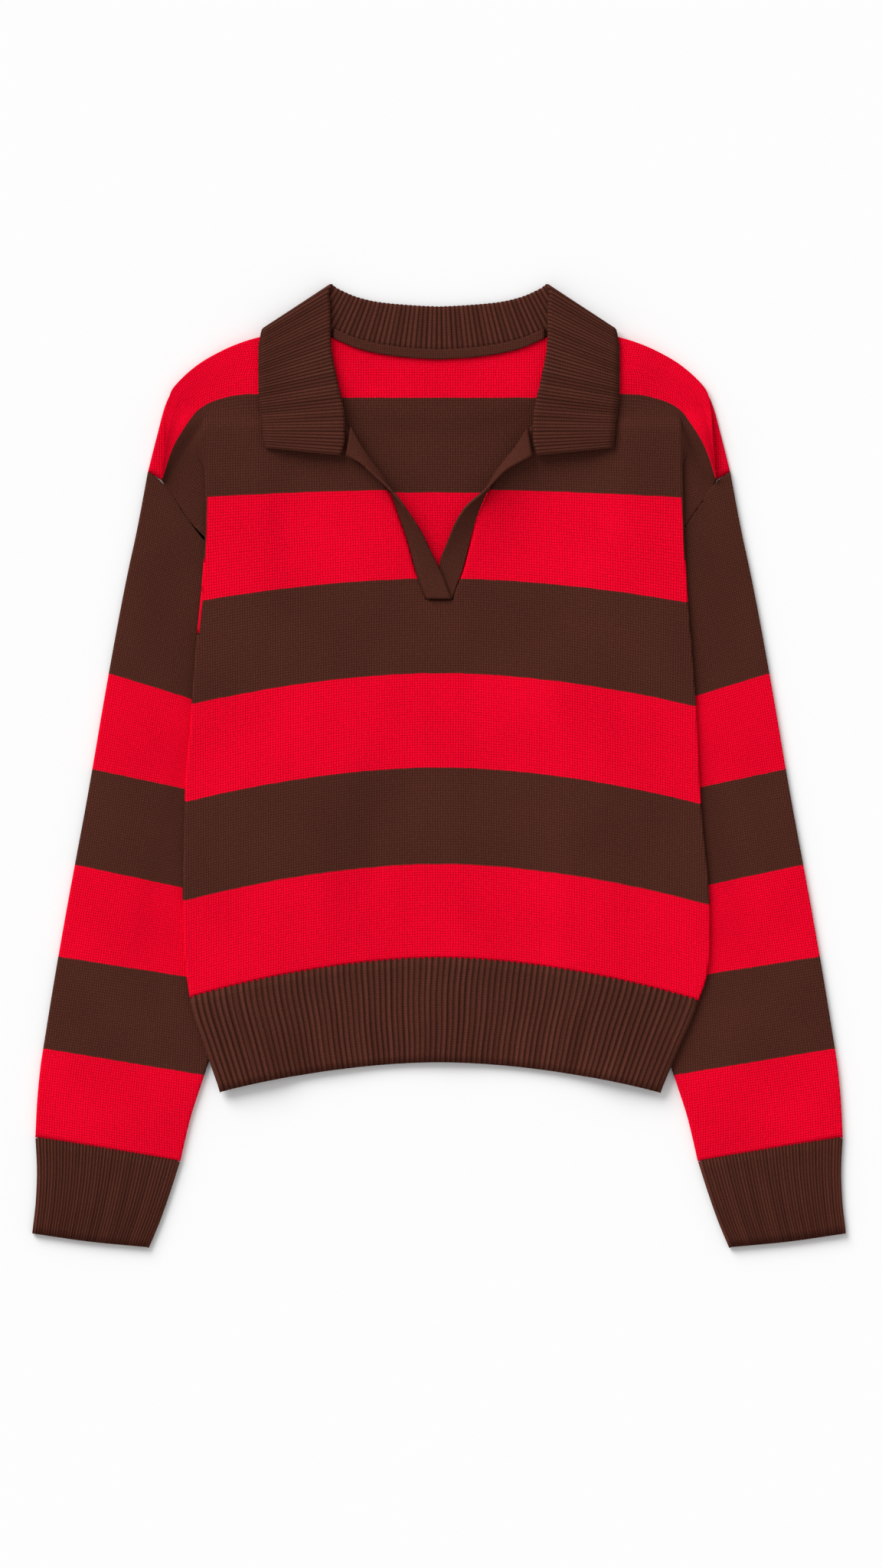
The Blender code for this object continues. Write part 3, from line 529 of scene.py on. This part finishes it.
def striped(name, changes, top_red):
    """Plain jersey, whose stripes change colour at the listed places along it, top first."""
    knit = Knit(name)
    height, side = knit.stitches(JERSEY_STITCH, JERSEY_STITCH)
    along = knit.maths("MULTIPLY_ADD", side, -CHANGE_ZIGZAG, knit.along)
    along = knit.maths("ADD", along, knit.stray(CHANGE_NOISE, reach=CHANGE_STRAY))
    red = 1.0 if top_red else 0.0
    for place in changes:
        below = knit.ramp(along, place * MM + CHANGE_BLUR, place * MM - CHANGE_BLUR)
        red = knit.maths("MULTIPLY_ADD", below, -1.0 if top_red else 1.0, red)
        top_red = not top_red
    values = {"Factor": red, "A": (*BROWN, 1.0), "B": (*RED, 1.0)}
    yarn = knit.node("Mix", values, "Result", data_type="RGBA")
    return knit.finish(shaded(knit, yarn, height, low=0.62, patches=0.05), height, depth=0.0003)


def plain(name):
    """Plain brown jersey of the bands and the tape."""
    knit = Knit(name)
    height, _ = knit.stitches(BAND_STITCH, BAND_STITCH)
    return knit.finish(shaded(knit, BROWN, height, low=0.66, patches=0.06), height,
                       depth=0.00025)


def ribbed(name, pitch):
    """Brown ribbing: across counts ribs of one pitch, lightened on the ribs' tops by a painted
    highlight, darkened between them by painted shade, and streaky.
    """
    knit = Knit(name)
    height, _ = knit.stitches(pitch / 2, RIB_STITCH)
    rib = knit.zigzag(knit.maths("DIVIDE", knit.across, pitch))
    # Painted shade between the ribs, and a painted highlight on their tops.
    painted_valley_shade = knit.ramp(rib, 0.5, 0.9, 1.0, RIB_VALLEY_SHADE)
    streaks = knit.ramp(knit.noise(1.0, 1.0, STREAKS), 0.3, 0.7, 0.82, 1.14)
    painted_highlight_colour = tuple(c * RIB_TOP_HIGHLIGHT for c in BROWN)
    yarn = shaded(knit, painted_highlight_colour, height, low=0.72, patches=0.07)
    return knit.finish(knit.lit(yarn, knit.maths("MULTIPLY", painted_valley_shade, streaks)), height,
                       depth=0.0002)


# ---- Making a piece ----
def denser(grid, steps, closed=False):
    """A grid with steps times as many places along its second axis, on smooth curves.

    Between two places the curve never overshoots either.
    """
    values = np.asarray(grid, float)
    if closed:
        values = np.concatenate([values[:, -2:], values, values[:, :3]], axis=1)
    rises = np.diff(values, axis=1)
    before, after = rises[:, :-1], rises[:, 1:]
    same = before * after > 0
    total = np.where(same, before + after, 1.0)
    inner = np.where(same, 2 * before * after / total, 0.0)
    slopes = np.concatenate([rises[:, :1], inner, rises[:, -1:]], axis=1)
    parts = [bend(t, values[:, :-1], values[:, 1:], slopes[:, :-1], slopes[:, 1:])
             for t in np.arange(steps) / steps]
    made = np.stack(parts, axis=2).reshape(values.shape[0], -1, *values.shape[2:])
    if closed:
        return made[:, 2 * steps:-2 * steps]
    return np.concatenate([made, values[:, -1:]], axis=1)


def refined(grid, down, across, closed=False):
    """The same, down times along the rows' order and across times along each row."""
    wide = denser(grid, across, closed)
    return np.swapaxes(denser(np.swapaxes(wide, 0, 1), down), 0, 1)


def cloth(node, slot, rows, coords, material, closed=False, skip=None, share=None, wall=WALL,
          offset=0.0, mirror=False):
    """The cloth that stands for a node: a sheet through rows of points, given its wall.

    coords are the knit's coordinates at the points, in millimetres; a closed row has one
    more of them than points.  share is the part of the wall that each column gets.
    """
    mesh = bmesh.new()
    layer = mesh.verts.layers.deform.new()
    uv = mesh.loops.layers.uv.new("cloth")
    grid = [[mesh.verts.new([v * MM for v in p]) for p in row] for row in rows]
    if share:
        for r, row in enumerate(grid):
            for c, point in enumerate(row):
                point[layer][0] = share(r, c)
    columns = len(rows[0])
    for r in range(len(rows) - 1):
        for c in range(columns if closed else columns - 1):
            if skip and skip(r, c):
                continue
            corners = ((r, c), (r + 1, c), (r + 1, c + 1), (r, c + 1))
            face = mesh.faces.new([grid[i][j % columns] for i, j in corners])
            for loop, (i, j) in zip(face.loops, corners):
                loop[uv].uv = (coords[i][j][0] * MM, coords[i][j][1] * MM)
    loose = [point for point in mesh.verts if not point.link_faces]
    bmesh.ops.delete(mesh, geom=loose, context="VERTS")
    data = bpy.data.meshes.new(node + "_cloth")
    mesh.to_mesh(data)
    mesh.free()
    data.materials.append(material)
    data.shade_smooth()
    made = bpy.data.objects.new(node + "_cloth", data)
    bpy.context.scene.collection.objects.link(made)
    if mirror:
        other_half = made.modifiers.new("other_half", "MIRROR")
        other_half.merge_threshold = 0.00001
    solid = made.modifiers.new("wall", "SOLIDIFY")
    solid.thickness = wall * MM
    solid.offset = offset
    if share:
        made.vertex_groups.new(name="wall")
        solid.vertex_group = "wall"
    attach(made, "root")
    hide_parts(node)
    return made


def run_along(rows):
    """Distance along each row from its first point."""
    steps = np.linalg.norm(np.diff(rows, axis=1), axis=2)
    return np.concatenate([np.zeros((len(rows), 1)), np.cumsum(steps, axis=1)], axis=1)


# ---- Body ----
def turn(start, out, up, radius=TURN):
    """Two points round a folded edge that starts at a point.

    out is the sign of x towards the edge, and up the sign of z to the next layer.
    """
    x, y, z = start
    reach = out * radius * NOSE
    return [(x + reach, y, z + up * radius * 0.5), (x + reach, y, z + up * radius * 1.5)]


def sag(x, centre):
    """The height, at x, of the course that crosses the middle at centre."""
    droop = read(COURSES, centre, "centre", "droop")
    return centre - droop * (abs(x) / DROOP_X) ** DROOP_POWER


def side_of(centre, sign):
    """Where a course meets the body's folded side."""
    y = centre
    for _ in range(8):
        x = body_side(y, sign)
        y = sag(x, centre)
    return x, y


def seam_x(y, sign, room=0.0):
    """The side seam under the body, where the back panel meets the front's return."""
    return sign * (read(SIDE_SEAMS, y, "y", "x") - room)


def front_course(centre, sign):
    """Points of one course, from the middle or the neck's edge to the folded side."""
    inner = neck_edge(max(centre, LEFT_BAND[0].seam_y), sign)
    outer = side_of(centre, sign)[0] - sign * FOLD_INSET
    points = []
    for share in MAIN:
        x = inner + (outer - inner) * share
        y = sag(x, centre)
        points.append((x, y, front_height(x, y)))
    return points


def plain_tail(start, sign, centre):
    """Round the folded side and back under it to the side seam."""
    x, y, z = start
    end = seam_x(y, sign)
    under = [(x - sign * UNDER_STEP, y, z - LAYER), (end, sag(end, centre), z - LAYER)]
    return turn(start, sign, -1) + under + under[-1:] * (TAIL - RETURN)


def pleat_tail(start, sign, pleat):
    """Round the pleat, part made or whole, and along the drop shoulder to the armhole."""
    x, y, z = start
    seam = on_path(ARMHOLE, pleat.armhole * PLEAT_ARMHOLE / run_of(ARMHOLE)[-1])
    end = (-sign * (seam[0] + SEAM_ROOM), seam[1] + SEAM_ROOM)
    inner = x + (seam_x(y, sign) - x) * pleat.overlap
    under = [(x - sign * UNDER_STEP, y, z - LAYER), (inner, y, z - LAYER)]
    folded = turn(start, sign, -1) + under + turn(under[-1], -sign, -1)
    folded += [(*mix((inner, y), end, share), z - 2 * LAYER) for share in (0.0, 0.5, 1.0)]
    unfolded = []
    for share in evenly(TAIL)[1:]:
        fallen = z + (FRONT_LEVEL - z) * smooth(share * SHOULDER_FALL)
        unfolded.append((*mix((x, y), end, share), fallen))
    return [mix(a, b, pleat.overlap) for a, b in zip(unfolded, folded)]


def shoulder_row(share, sign):
    """A row between the shoulder's edge (0) and the course that meets its end (1)."""
    start_y = SHOULDER[0].y + (SHOULDER_CENTRE - SHOULDER[0].y) * share
    start = (neck_edge(start_y, -1), start_y)
    upper = [start] + FRONT_SHOULDER[1:]
    lower = [start] + SHOULDER_COURSE[1:]
    points = []
    for part in MAIN + [1 + share for share in evenly(TAIL)[1:]]:
        along = [s * part if part <= 1 else s + (1 - s) * (part - 1) for s in MAIN_SHARES]
        x, y = mix(on_path(upper, along[0]), on_path(lower, along[1]), share)
        points.append((-sign * x, y, front_height(x, y)))
    return points


def whole_course(centre, tail, detail):
    """A course from side to side, with a tail of points beyond each folded side."""
    halves = []
    for sign in (-1, 1):
        main = front_course(centre, sign)
        halves.append(main + tail(main[-1], sign, detail))
    return halves[0][::-1] + halves[1]


def front_coords(grid, last_pleat):
    """The knit's coordinates on the front, where each row below the shoulder is a course."""
    centres = [[pleat.centre] for pleat in PLEATS] + [[c] for c in BODY_ROWS + [HEM_SEAM]]
    body = denser(np.array(centres).T, FINE)[0]
    down = run_along(np.swapaxes(grid, 0, 1)).T
    top = SHOULDER_ROWS * FINE
    along = np.zeros(grid.shape[:2])
    along[:top + 1] = SHOULDER_CENTRE + down[top] - down[:top + 1]
    between = SHOULDER_CENTRE + (body[0] - SHOULDER_CENTRE) * np.arange(1, FINE) / FINE
    along[top + 1:top + FINE] = between[:, None]
    along[top + FINE:] = body[:, None]

    tail = TAIL * FINE
    pleated = (np.arange(len(grid)) <= last_pleat * FINE)[:, None]
    # Brown beyond the pleats, and the sliver of red below them.
    browned = np.clip((SHOULDER_BROWN - along) / BROWN_BLEND, 0, 1) * pleated
    rise = browned * np.maximum(0, SHOULDER_BROWN + 2 - along)
    for edge in (slice(0, tail - 1), slice(1 - tail, None)):
        along[:, edge] += rise[:, edge]
    sliver = (grid[..., 1] > SLIVER[0]) & (grid[..., 1] < SLIVER[1])
    sliver[:, tail:] = False
    sliver[:, :tail - 2 * FINE] = False
    along[sliver] = SLIVER_COURSE

    across = run_along(grid)
    middle = (len(MAIN) + TAIL - 1) * FINE + FINE // 2
    return np.stack([across - across[:, middle:middle + 1], along], axis=2)


def make_front(material):
    rows = [shoulder_row(share, -1)[::-1] + shoulder_row(share, 1)
            for share in evenly(SHOULDER_ROWS)]
    rows += [whole_course(pleat.centre, pleat_tail, pleat) for pleat in PLEATS]
    last_pleat = len(rows) - 1
    rows += [whole_course(c, plain_tail, c) for c in BODY_ROWS + [HEM_SEAM]]
    foot = last_pleat + 1 + BODY_ROWS.index(FOOT_ROW)
    middle_cell = len(MAIN) + TAIL - 1
    last_cell = len(rows[0]) - 2
    spare = TAIL - RETURN

    def skip(r, c):
        """The open V, and the ends of the rows without a pleat, whose points are all one."""
        r, c = r // FINE, c // FINE
        open_v = c == middle_cell and r < foot
        row_end = r >= last_pleat and (c < spare or c > last_cell - spare)
        return open_v or row_end

    grid = refined(rows, FINE, FINE)
    return cloth("front_panel", "striped_knit", grid, front_coords(grid, last_pleat), material,
                 skip=skip)


def patch(top, bottom, left, right, downs, acrosses):
    """Rows of points filling four edges; left and right run down, top and bottom across."""
    rows = []
    for t in downs:
        row = []
        for s in acrosses:
            level = mix(on_path(left, t), on_path(right, t), s)
            fall = mix(on_path(top, s), on_path(bottom, s), t)
            corners = mix(mix(top[0], top[-1], s), mix(bottom[0], bottom[-1], s), t)
            row.append(tuple(a + b - c for a, b, c in zip(level, fall, corners)))
        rows.append(row)
    return rows


BACK_DOWNS = [0, 0.03, 0.07, 0.11, 0.155, 0.2, 0.23, 0.26, 0.29, 0.32, 0.37, 0.43, 0.5, 0.57,
              0.65, 0.73, 0.82, 0.91, 1]
BACK_SIDE_TOP = 147.0  # where the side seam starts, below the armhole
BACK_CORNER = 1.5  # height of its lower end over the hem's seam
BACK_SHIFT = 2.4  # how far the back's stripes lie below the front's
# Beyond BACK_SHOULDER from the middle the top stripe reaches further down.
BACK_SHOULDER, BACK_SHOULDER_SPAN, BACK_SHOULDER_SHIFT = 140.0, 60.0, 70.0


def make_back(material):
    shoulder = SHOULDER[::-1]
    neck = [(p.x, p.y - NECK_ROOM) for p in NECK_BACK]
    top = shoulder + neck + mirrored((shoulder + neck[:-1])[::-1])
    edges = []
    for sign in (-1, 1):
        armhole = [(-sign * (p.x + SEAM_ROOM), p.y + SEAM_ROOM) for p in ARMHOLE[:5]]
        edge = [(-sign * SHOULDER[-1].x, SHOULDER[-1].y)] + armhole
        hem = side_of(HEM_SEAM, sign)[1] + BACK_CORNER
        edge += [(seam_x(y, sign, SEAM_ROOM), y) for y in between(BACK_SIDE_TOP, hem, 7)]
        edges.append(edge)
    left, right = edges
    bottom = [(x, sag(x, HEM_SEAM + GAP / 2)) for x in between(left[-1][0], right[-1][0], 16)]
    left[-1], right[-1] = bottom[0], bottom[-1]
    flat = patch(top, bottom, left, right, BACK_DOWNS, evenly(20))
    grid = refined([[(x, y, back_height(x, y)) for x, y in row] for row in flat], FINE, FINE)
    aside = np.clip((np.abs(grid[..., 0]) - BACK_SHOULDER) / BACK_SHOULDER_SPAN, 0, 1)
    along = grid[..., 1] + BACK_SHIFT + BACK_SHOULDER_SHIFT * aside * aside * (3 - 2 * aside)
    return cloth("back_panel", "striped_knit", grid, np.stack([grid[..., 0], along], axis=2),
                 material)


def rib_wall(phase):
    """The part of the wall left at a place across a rib, 0 and 1 being between two."""
    return VALLEY / RIDGE + (1 - VALLEY / RIDGE) * rib_top(phase) ** RIB_FULLNESS


def rib_top(phase):
    """How far a rib's first loop reaches over the cloth it is joined to, from 0 to 1."""
    return math.sin(math.pi * (phase % 1.0))


def make_hems(material):
    """The ribbed hem: the front wraps round both sides, and the back closes it."""
    def side_points(centre, sign):
        outer, y = side_of(centre, sign)
        start_x = outer - sign * FOLD_INSET
        start = (start_x, y, front_height(start_x, y) - WALL / 2)
        end_x = seam_x(y, sign)
        end = (end_x, sag(end_x, centre), start[2] - GAP)
        return start, turn(start, sign, -1, GAP / 2) + [(start_x - sign * 0.2, y, end[2]), end]

    columns = HEM_RIBS * RIB_STEPS
    rows, coords = [], []
    for part in evenly(HEM_ROWS):
        centre = HEM_SEAM + (HEM_END - HEM_SEAM) * part
        left, left_tail = side_points(centre, -1)
        right, right_tail = side_points(centre, 1)
        row = left_tail[::-1]
        for step in range(columns + 1):
            x = left[0] + (right[0] - left[0]) * step / columns
            wander = math.sin(WANDER_DOWN * part + WANDER_ACROSS * step)
            x += RIB_WANDER * wander * math.sin(math.pi * step / columns)
            y = sag(x, centre)
            if part == 0:
                y += HEM_LOOP * rib_top(step / RIB_STEPS)
            row.append((x, y, front_height(x, y) - WALL / 2))
        rows.append(row + right_tail)
        coords.append([(HEM_PITCH * (c - RETURN) / RIB_STEPS, centre)
                       for c in range(len(rows[-1]))])

    def share(r, c):
        if RETURN <= c < len(rows[0]) - RETURN:
            return rib_wall((c - RETURN) / RIB_STEPS)
        return WALL / RIDGE

    front = cloth("hem_front", "brown_rib", rows, coords, material, share=share, wall=RIDGE,
                  offset=1.0)

    rows = []
    for centre in between(HEM_SEAM, HEM_END, HEM_ROWS):
        ends = [seam_x(side_of(centre, sign)[1], sign, SEAM_ROOM) for sign in (-1, 1)]
        flat = [(x, sag(x, centre)) for x in between(*ends, 48)]
        rows.append([(x, y, back_height(x, y)) for x, y in flat])
    coords = [[(x, y) for x, y, _ in row] for row in rows]
    return front, cloth("hem_back", "brown_rib", rows, coords, material)


# ---- Sleeves ----
SLEEVE_ROWS = [0, 0.03, 0.06, 0.1, 0.14, 0.19, 0.24, 0.3, 0.36, 0.43, 0.5, 0.57, 0.64, 0.71,
               0.78, 0.84, 0.9, 0.95, 1]
SLEEVE_TOPS = [0, 0.07, 0.2, 0.35, 0.5, 0.65, 0.8, 0.93, 1]
# A bare sleeve's upper layer stands up by SLEEVE_PROUD, from BARE_START beyond the body's
# side over BARE_SPAN, less near its edges and its two ends.
SLEEVE_PROUD = 1.4
BARE_START, BARE_SPAN = 18.0, 26.0
BODY_END = -245.0
EDGE_SHARE = 0.16
ARMHOLE_SHARE, CUFF_SHARE = 0.1, 0.06


def tube_row(line, level, radius, tops, bottoms):
    """One ring of a flattened tube: over the top, round, back underneath and round.

    line runs in plan from the outer edge to the inner.  level(x, y, share) is the height
    of the upper layer, and the lower one lies on the floor.
    """
    width = run_of(line)[-1]
    inset = FOLD_INSET / width
    nose = radius * NOSE / width
    ring = []
    for share in tops:
        share = inset + (1 - 2 * inset) * share
        x, y = on_path(line, share)
        ring.append((x, y, level(x, y, share)))
    low = level(*on_path(line, 1.0), 1.0) - 2 * radius
    inner = on_path(line, 1 - inset + nose)
    outer = on_path(line, inset - nose)
    ring += [(*inner, low + radius * 1.5), (*inner, low + radius * 0.5)]
    ring += [(*on_path(line, 1 - inset - (1 - 2 * inset) * share), low) for share in bottoms]
    return ring + [(*outer, low + radius * 0.5), (*outer, low + radius * 1.5)]


def tube_piece(node, slot, sign, rings, across, along, material, **given):
    """A closed tube made on the left and mirrored for the right.

    across and along are the knit's coordinates, across with a column more than the ring.
    """
    coords = np.stack([across, np.concatenate([along, along[:, :1]], axis=1)], axis=2)
    size = rings.shape[1]
    if sign > 0:
        rings = rings[:, ::-1] * np.array([-1, 1, 1])
        last = coords[:, size - 1:size] - [[[1, 0]]] * coords[:, size:]
        coords = np.concatenate([coords[:, size - 1::-1], last], axis=1)
    return cloth(node, slot, rings, coords, material, closed=True, **given)


def sleeve_course(x, y):
    """Where along the sleeve a point's course meets the sleeve's outer edge, as its y."""
    centre = y
    for _ in range(4):
        outer = -read(SLEEVE_OUTER, centre, "y", "x")
        centre = y + read(SLEEVE_SLANTS, centre, "y", "slant") * (outer - abs(x))
    return centre


def make_sleeve(name, sign, material):
    start = moved(SLEEVE_OUTER[0], SHOULDER_STEP)
    armhole = [start] + [moved(p, ARMHOLE_STEP) for p in ARMHOLE[:-1]] + SLEEVE_INNER[:1]
    outer = [start] + SLEEVE_OUTER[1:]
    end = [outer[-1], SLEEVE_END, SLEEVE_INNER[-1]]
    rows = []
    for t in SLEEVE_ROWS:
        line = patch(armhole, end, outer, SLEEVE_INNER, [t], evenly(24))[0]

        def level(x, y, share):
            """Visible cloth stands a little proud of the layer under it."""
            past_side = abs(x) - abs(body_side(y, sign))
            bare = smooth((past_side - BARE_START) / BARE_SPAN) if y > BODY_END else 1.0
            edges = smooth(share / EDGE_SHARE) * smooth((1 - share) / EDGE_SHARE)
            ends = smooth(t / ARMHOLE_SHARE) * smooth((1 - t) / CUFF_SHARE)
            return FRONT_LEVEL + SLEEVE_PROUD * bare * edges * ends

        rows.append(tube_row(line, level, TURN, SLEEVE_TOPS, evenly(4)))
    rings = refined(rows, FINE, FINE, closed=True)
    along = np.array([[sleeve_course(x, y) for x, y, _ in ring] for ring in rings])
    across = run_along(np.concatenate([rings, rings[:, :1]], axis=1))
    return tube_piece(name, "striped_knit", sign, rings, across, along, material)


def make_cuff(name, sign, material):
    seam = [CUFF_OUTER[0], CUFF_TOP, CUFF_INNER[0]]
    end = [CUFF_OUTER[-1], CUFF_END, CUFF_INNER[-1]]
    ribs = CUFF_RIBS * RIB_STEPS
    rows, along = [], []
    for t in evenly(10):
        line = patch(seam, end, CUFF_OUTER, CUFF_INNER, [t], evenly(12))[0]
        ring = tube_row(line, lambda x, y, s: LAYER, GAP / 2, evenly(ribs), evenly(30))
        if t == 0:
            ring = [(x, y + CUFF_LOOP * rib_top(c / RIB_STEPS) * (c <= ribs), z)
                    for c, (x, y, z) in enumerate(ring)]
        rows.append(ring)
        along.append([-CUFF_DEPTH * t] * len(ring))
    rings = np.array(rows)
    size = rings.shape[1]
    across = np.array([[CUFF_PITCH * c / RIB_STEPS for c in range(ribs + 1)]
                       + [CUFF_PITCH * (CUFF_RIBS + c / 2) for c in range(size - ribs)]])

    def share(r, c):
        c = c if sign < 0 else size - 1 - c
        return rib_wall(c / RIB_STEPS) if c <= ribs else WALL / RIDGE

    return tube_piece(name, "brown_rib", sign, rings, np.repeat(across, len(rows), axis=0),
                      np.array(along), material, share=share, wall=RIDGE, offset=1.0)


# ---- Collar, placket and tape ----
COLLAR_FINE = 5  # steps between two points across the collar and the bands
HEIGHTS_REACH = 3 * RIB_STEPS  # stations to each side that a height is eased over
PLAN_REACH = 10  # the same for a place in plan
ON_PANEL_END, ON_PANEL_SPAN = 0.3, 0.25  # the stand lies on the front panel up to here
BAND_SHARES = (0.16, 0.55)
TAPE_WIDTH = 7.8
TAPE_TOP = 5.4  # over the collar's seam
TAPE_TUCK = 2.4  # how far in its ends stop, under the collar's fold


def toward(a, b, reach):
    """A point at reach from a on the way to b."""
    return mix(a, b, reach / math.dist(a, b))


def collar_station(seam, fold, edge, wrap, heights):
    """From the neck seam up the stand, round the fold and down the leaf.

    wrap is 1 where the leaf lies on the stand, -1 where it lies under it, and between
    them where it goes round the shoulder.  heights are those of seam, fold and edge.
    """
    seam_z, fold_z, edge_z = heights
    stand = (*toward(fold, seam, RIB_TURN), fold_z - wrap * RIB_TURN)
    leaf = (*toward(fold, edge, RIB_TURN), fold_z + wrap * RIB_TURN)
    end = (*edge, edge_z)
    x, y, z = mix(leaf, end, 0.5)
    if wrap == 1.0:
        z = max(z, front_height(x, y) + ON_PANEL)
    return [(*seam, seam_z), stand, (*fold, fold_z), leaf, (x, y, z), end]


def eased(stations):
    """The stations with their heights eased along the collar, and its corners rounded."""
    grid = np.array(stations)
    heights = (range(3, 6), (2,), HEIGHTS_REACH)
    plan = (range(6), (0, 1), PLAN_REACH)
    for columns, axes, reach in (heights, plan):
        window = np.hanning(2 * reach + 3)[1:-1]
        window /= window.sum()
        for column in columns:
            for axis in axes:
                line = grid[:, column, axis]
                padded = np.concatenate([2 * line[0] - line[reach:0:-1], line,
                                         2 * line[-1] - line[-2:-reach - 2:-1]])
                grid[:, column, axis] = np.convolve(padded, window, mode="valid")
    grid[-1, :, 0] = 0.0
    return grid


def make_collar(material):
    stations = []
    for part in evenly(RIB_STEPS * LEAF_RIBS):
        seam = on_path(NECK_FRONT, part)
        fold = on_path(FOLD_FRONT, part)
        edge = on_path(LEAF_FRONT, part)
        rise = curve(np.linspace(0, 1, len(FOLD_RISE)), np.array(FOLD_RISE), part)
        on_panel = 1.0 - smooth((part - ON_PANEL_END) / ON_PANEL_SPAN)
        heights = (front_height(*seam) + on_panel * ON_PANEL, rise,
                   front_height(*edge) + ON_PANEL)
        stations.append(collar_station(seam, fold, edge, 1.0, heights))

    front_heights = heights
    back_heights = (LEAF_STACK + RIDGE / 2, LEAF_STACK - GAP / 2, RIDGE / 2)
    for part in evenly(CORNER_RIBS * RIB_STEPS)[1:-1]:
        angle = math.pi * (0.5 - part)
        reach = math.cos(angle)
        fold = mix(mix(FOLD_FRONT[-1], FOLD_BACK[0], part), PEAK, reach)
        edge = moved(mix(LEAF_FRONT[-1], LEAF_BACK[0], part), LEAF_BULGE, reach)
        seam = mix(NECK_FRONT[-1], NECK_BACK[0], part)
        wrap = math.sin(angle)
        heights = mix(front_heights, back_heights, smooth(part))
        edge_z = mix(front_heights, back_heights, (1 - wrap) / 2)[2]
        stations.append(collar_station(seam, fold, edge, wrap, (*heights[:2], edge_z)))

    for part in evenly(RIB_STEPS * STAND_RIBS):
        stations.append(collar_station(on_path(NECK_BACK, part), on_path(FOLD_BACK, part),
                                       on_path(LEAF_BACK, part), -1.0, back_heights))

    grid = denser(eased(stations), COLLAR_FINE)
    ribs = np.arange(len(grid)) / RIB_STEPS
    across = np.repeat((ribs * LEAF_PITCH)[:, None], grid.shape[1], axis=1)

    def share(r, c):
        return rib_wall(r / RIB_STEPS)

    return cloth("collar", "brown_rib", grid, np.stack([across, run_along(grid)], axis=2),
                 material, share=share, wall=RIDGE, mirror=True)


def make_band(name, table, sign, material):
    """A placket band, from the seam on the front panel across to its free edge."""
    rows = []
    for band in table[::-1]:
        seam, free = band[:3], band[4:]
        raised = moved(seam, (0, 0, band.step))
        row = [seam, *(mix(raised, free, share) for share in BAND_SHARES), free]
        rows.append(row if sign < 0 else row[::-1])
    grid = refined(rows, FINE, COLLAR_FINE)
    down = run_along(np.swapaxes(grid, 0, 1)).T
    coords = np.stack([run_along(grid), -down], axis=2)
    return cloth(name, "brown_knit", grid, coords, material)


def make_tape(material):
    """Plain tape over the back neck seam, from one folded edge of the collar to the other."""
    level = LEAF_STACK + RIDGE + GAP + TAPE / 2
    points = []
    for share in evenly(48):
        x, y = on_path(NECK_BACK[1:], share)
        points.append((x + TAPE_TUCK * (1 - share), y))
    points += mirrored(points[:-1][::-1])
    rows = np.array([[(x, y + TAPE_TOP - TAPE_WIDTH * share, level) for x, y in points]
                     for share in evenly(6)])
    coords = np.stack([run_along(rows), rows[..., 1]], axis=2)
    return cloth("neck_tape", "brown_knit", rows, coords, material, wall=TAPE)


# ---- The sweater ----
body_knit = striped("body_stripes", BODY_CHANGES, True)
sleeve_knit = striped("sleeve_stripes", SLEEVE_CHANGES, False)
hem_rib = ribbed("hem_rib", HEM_PITCH * MM)
cuff_rib = ribbed("cuff_rib", CUFF_PITCH * MM)
collar_rib = ribbed("collar_rib", LEAF_PITCH * MM)
plain_knit = plain("plain_knit")

front = make_front(body_knit)
back = make_back(body_knit)
hem_front, hem_back = make_hems(hem_rib)
sleeves = [make_sleeve("left_sleeve", -1, sleeve_knit),
           make_sleeve("right_sleeve", 1, sleeve_knit)]
cuffs = [make_cuff("left_cuff", -1, cuff_rib), make_cuff("right_cuff", 1, cuff_rib)]
collar = make_collar(collar_rib)
bands = [make_band("placket_left", LEFT_BAND, -1, plain_knit),
         make_band("placket_right", RIGHT_BAND, 1, plain_knit)]
tape = make_tape(plain_knit)


# ---- Floor, light and camera ----
FLOOR_LEVEL = -0.0004
PHOTO_WIDTH, PHOTO_HEIGHT = 1152, 2048
CAMERA_HEIGHT = 12.0
CLOTH_LEVEL = 0.005
SENSOR = 36.0

scene = bpy.context.scene
white = bpy.data.materials.new("floor_white")
white.use_nodes = True
shader = white.node_tree.nodes["Principled BSDF"]
shader.inputs["Base Color"].default_value = (0.9, 0.9, 0.9, 1.0)
shader.inputs["Roughness"].default_value = 1.0
shader.inputs["Specular IOR Level"].default_value = 0.0
bpy.ops.mesh.primitive_plane_add(size=12.0, location=(0, 0, FLOOR_LEVEL))
floor = bpy.context.object
floor.name = "floor"
floor.data.materials.append(white)

world = bpy.data.worlds.new("studio")
world.use_nodes = True
background = world.node_tree.nodes["Background"]
background.inputs["Color"].default_value = (1.0, 1.0, 1.0, 1.0)
background.inputs["Strength"].default_value = 0.60
scene.world = world

key_data = bpy.data.lights.new("key", "SUN")
key_data.energy = 2.8
key_data.angle = math.radians(40)
key = bpy.data.objects.new("key", key_data)
key.rotation_euler = Vector((0.55, -0.72, -0.60)).to_track_quat("-Z", "Y").to_euler()
scene.collection.objects.link(key)

camera_data = bpy.data.cameras.new("camera")
camera_data.sensor_width = SENSOR
camera_data.lens = SENSOR * CAMERA_HEIGHT / (PHOTO_HEIGHT * PIXEL)
camera_data.clip_end = 100.0
camera = bpy.data.objects.new("camera", camera_data)
camera.location = ((PHOTO_WIDTH / 2 - MIDDLE_X) * PIXEL, (MIDDLE_Y - PHOTO_HEIGHT / 2) * PIXEL,
                   CAMERA_HEIGHT + CLOTH_LEVEL)
scene.collection.objects.link(camera)
scene.camera = camera
scene.view_settings.view_transform = "Standard"

bpy.context.view_layer.update()
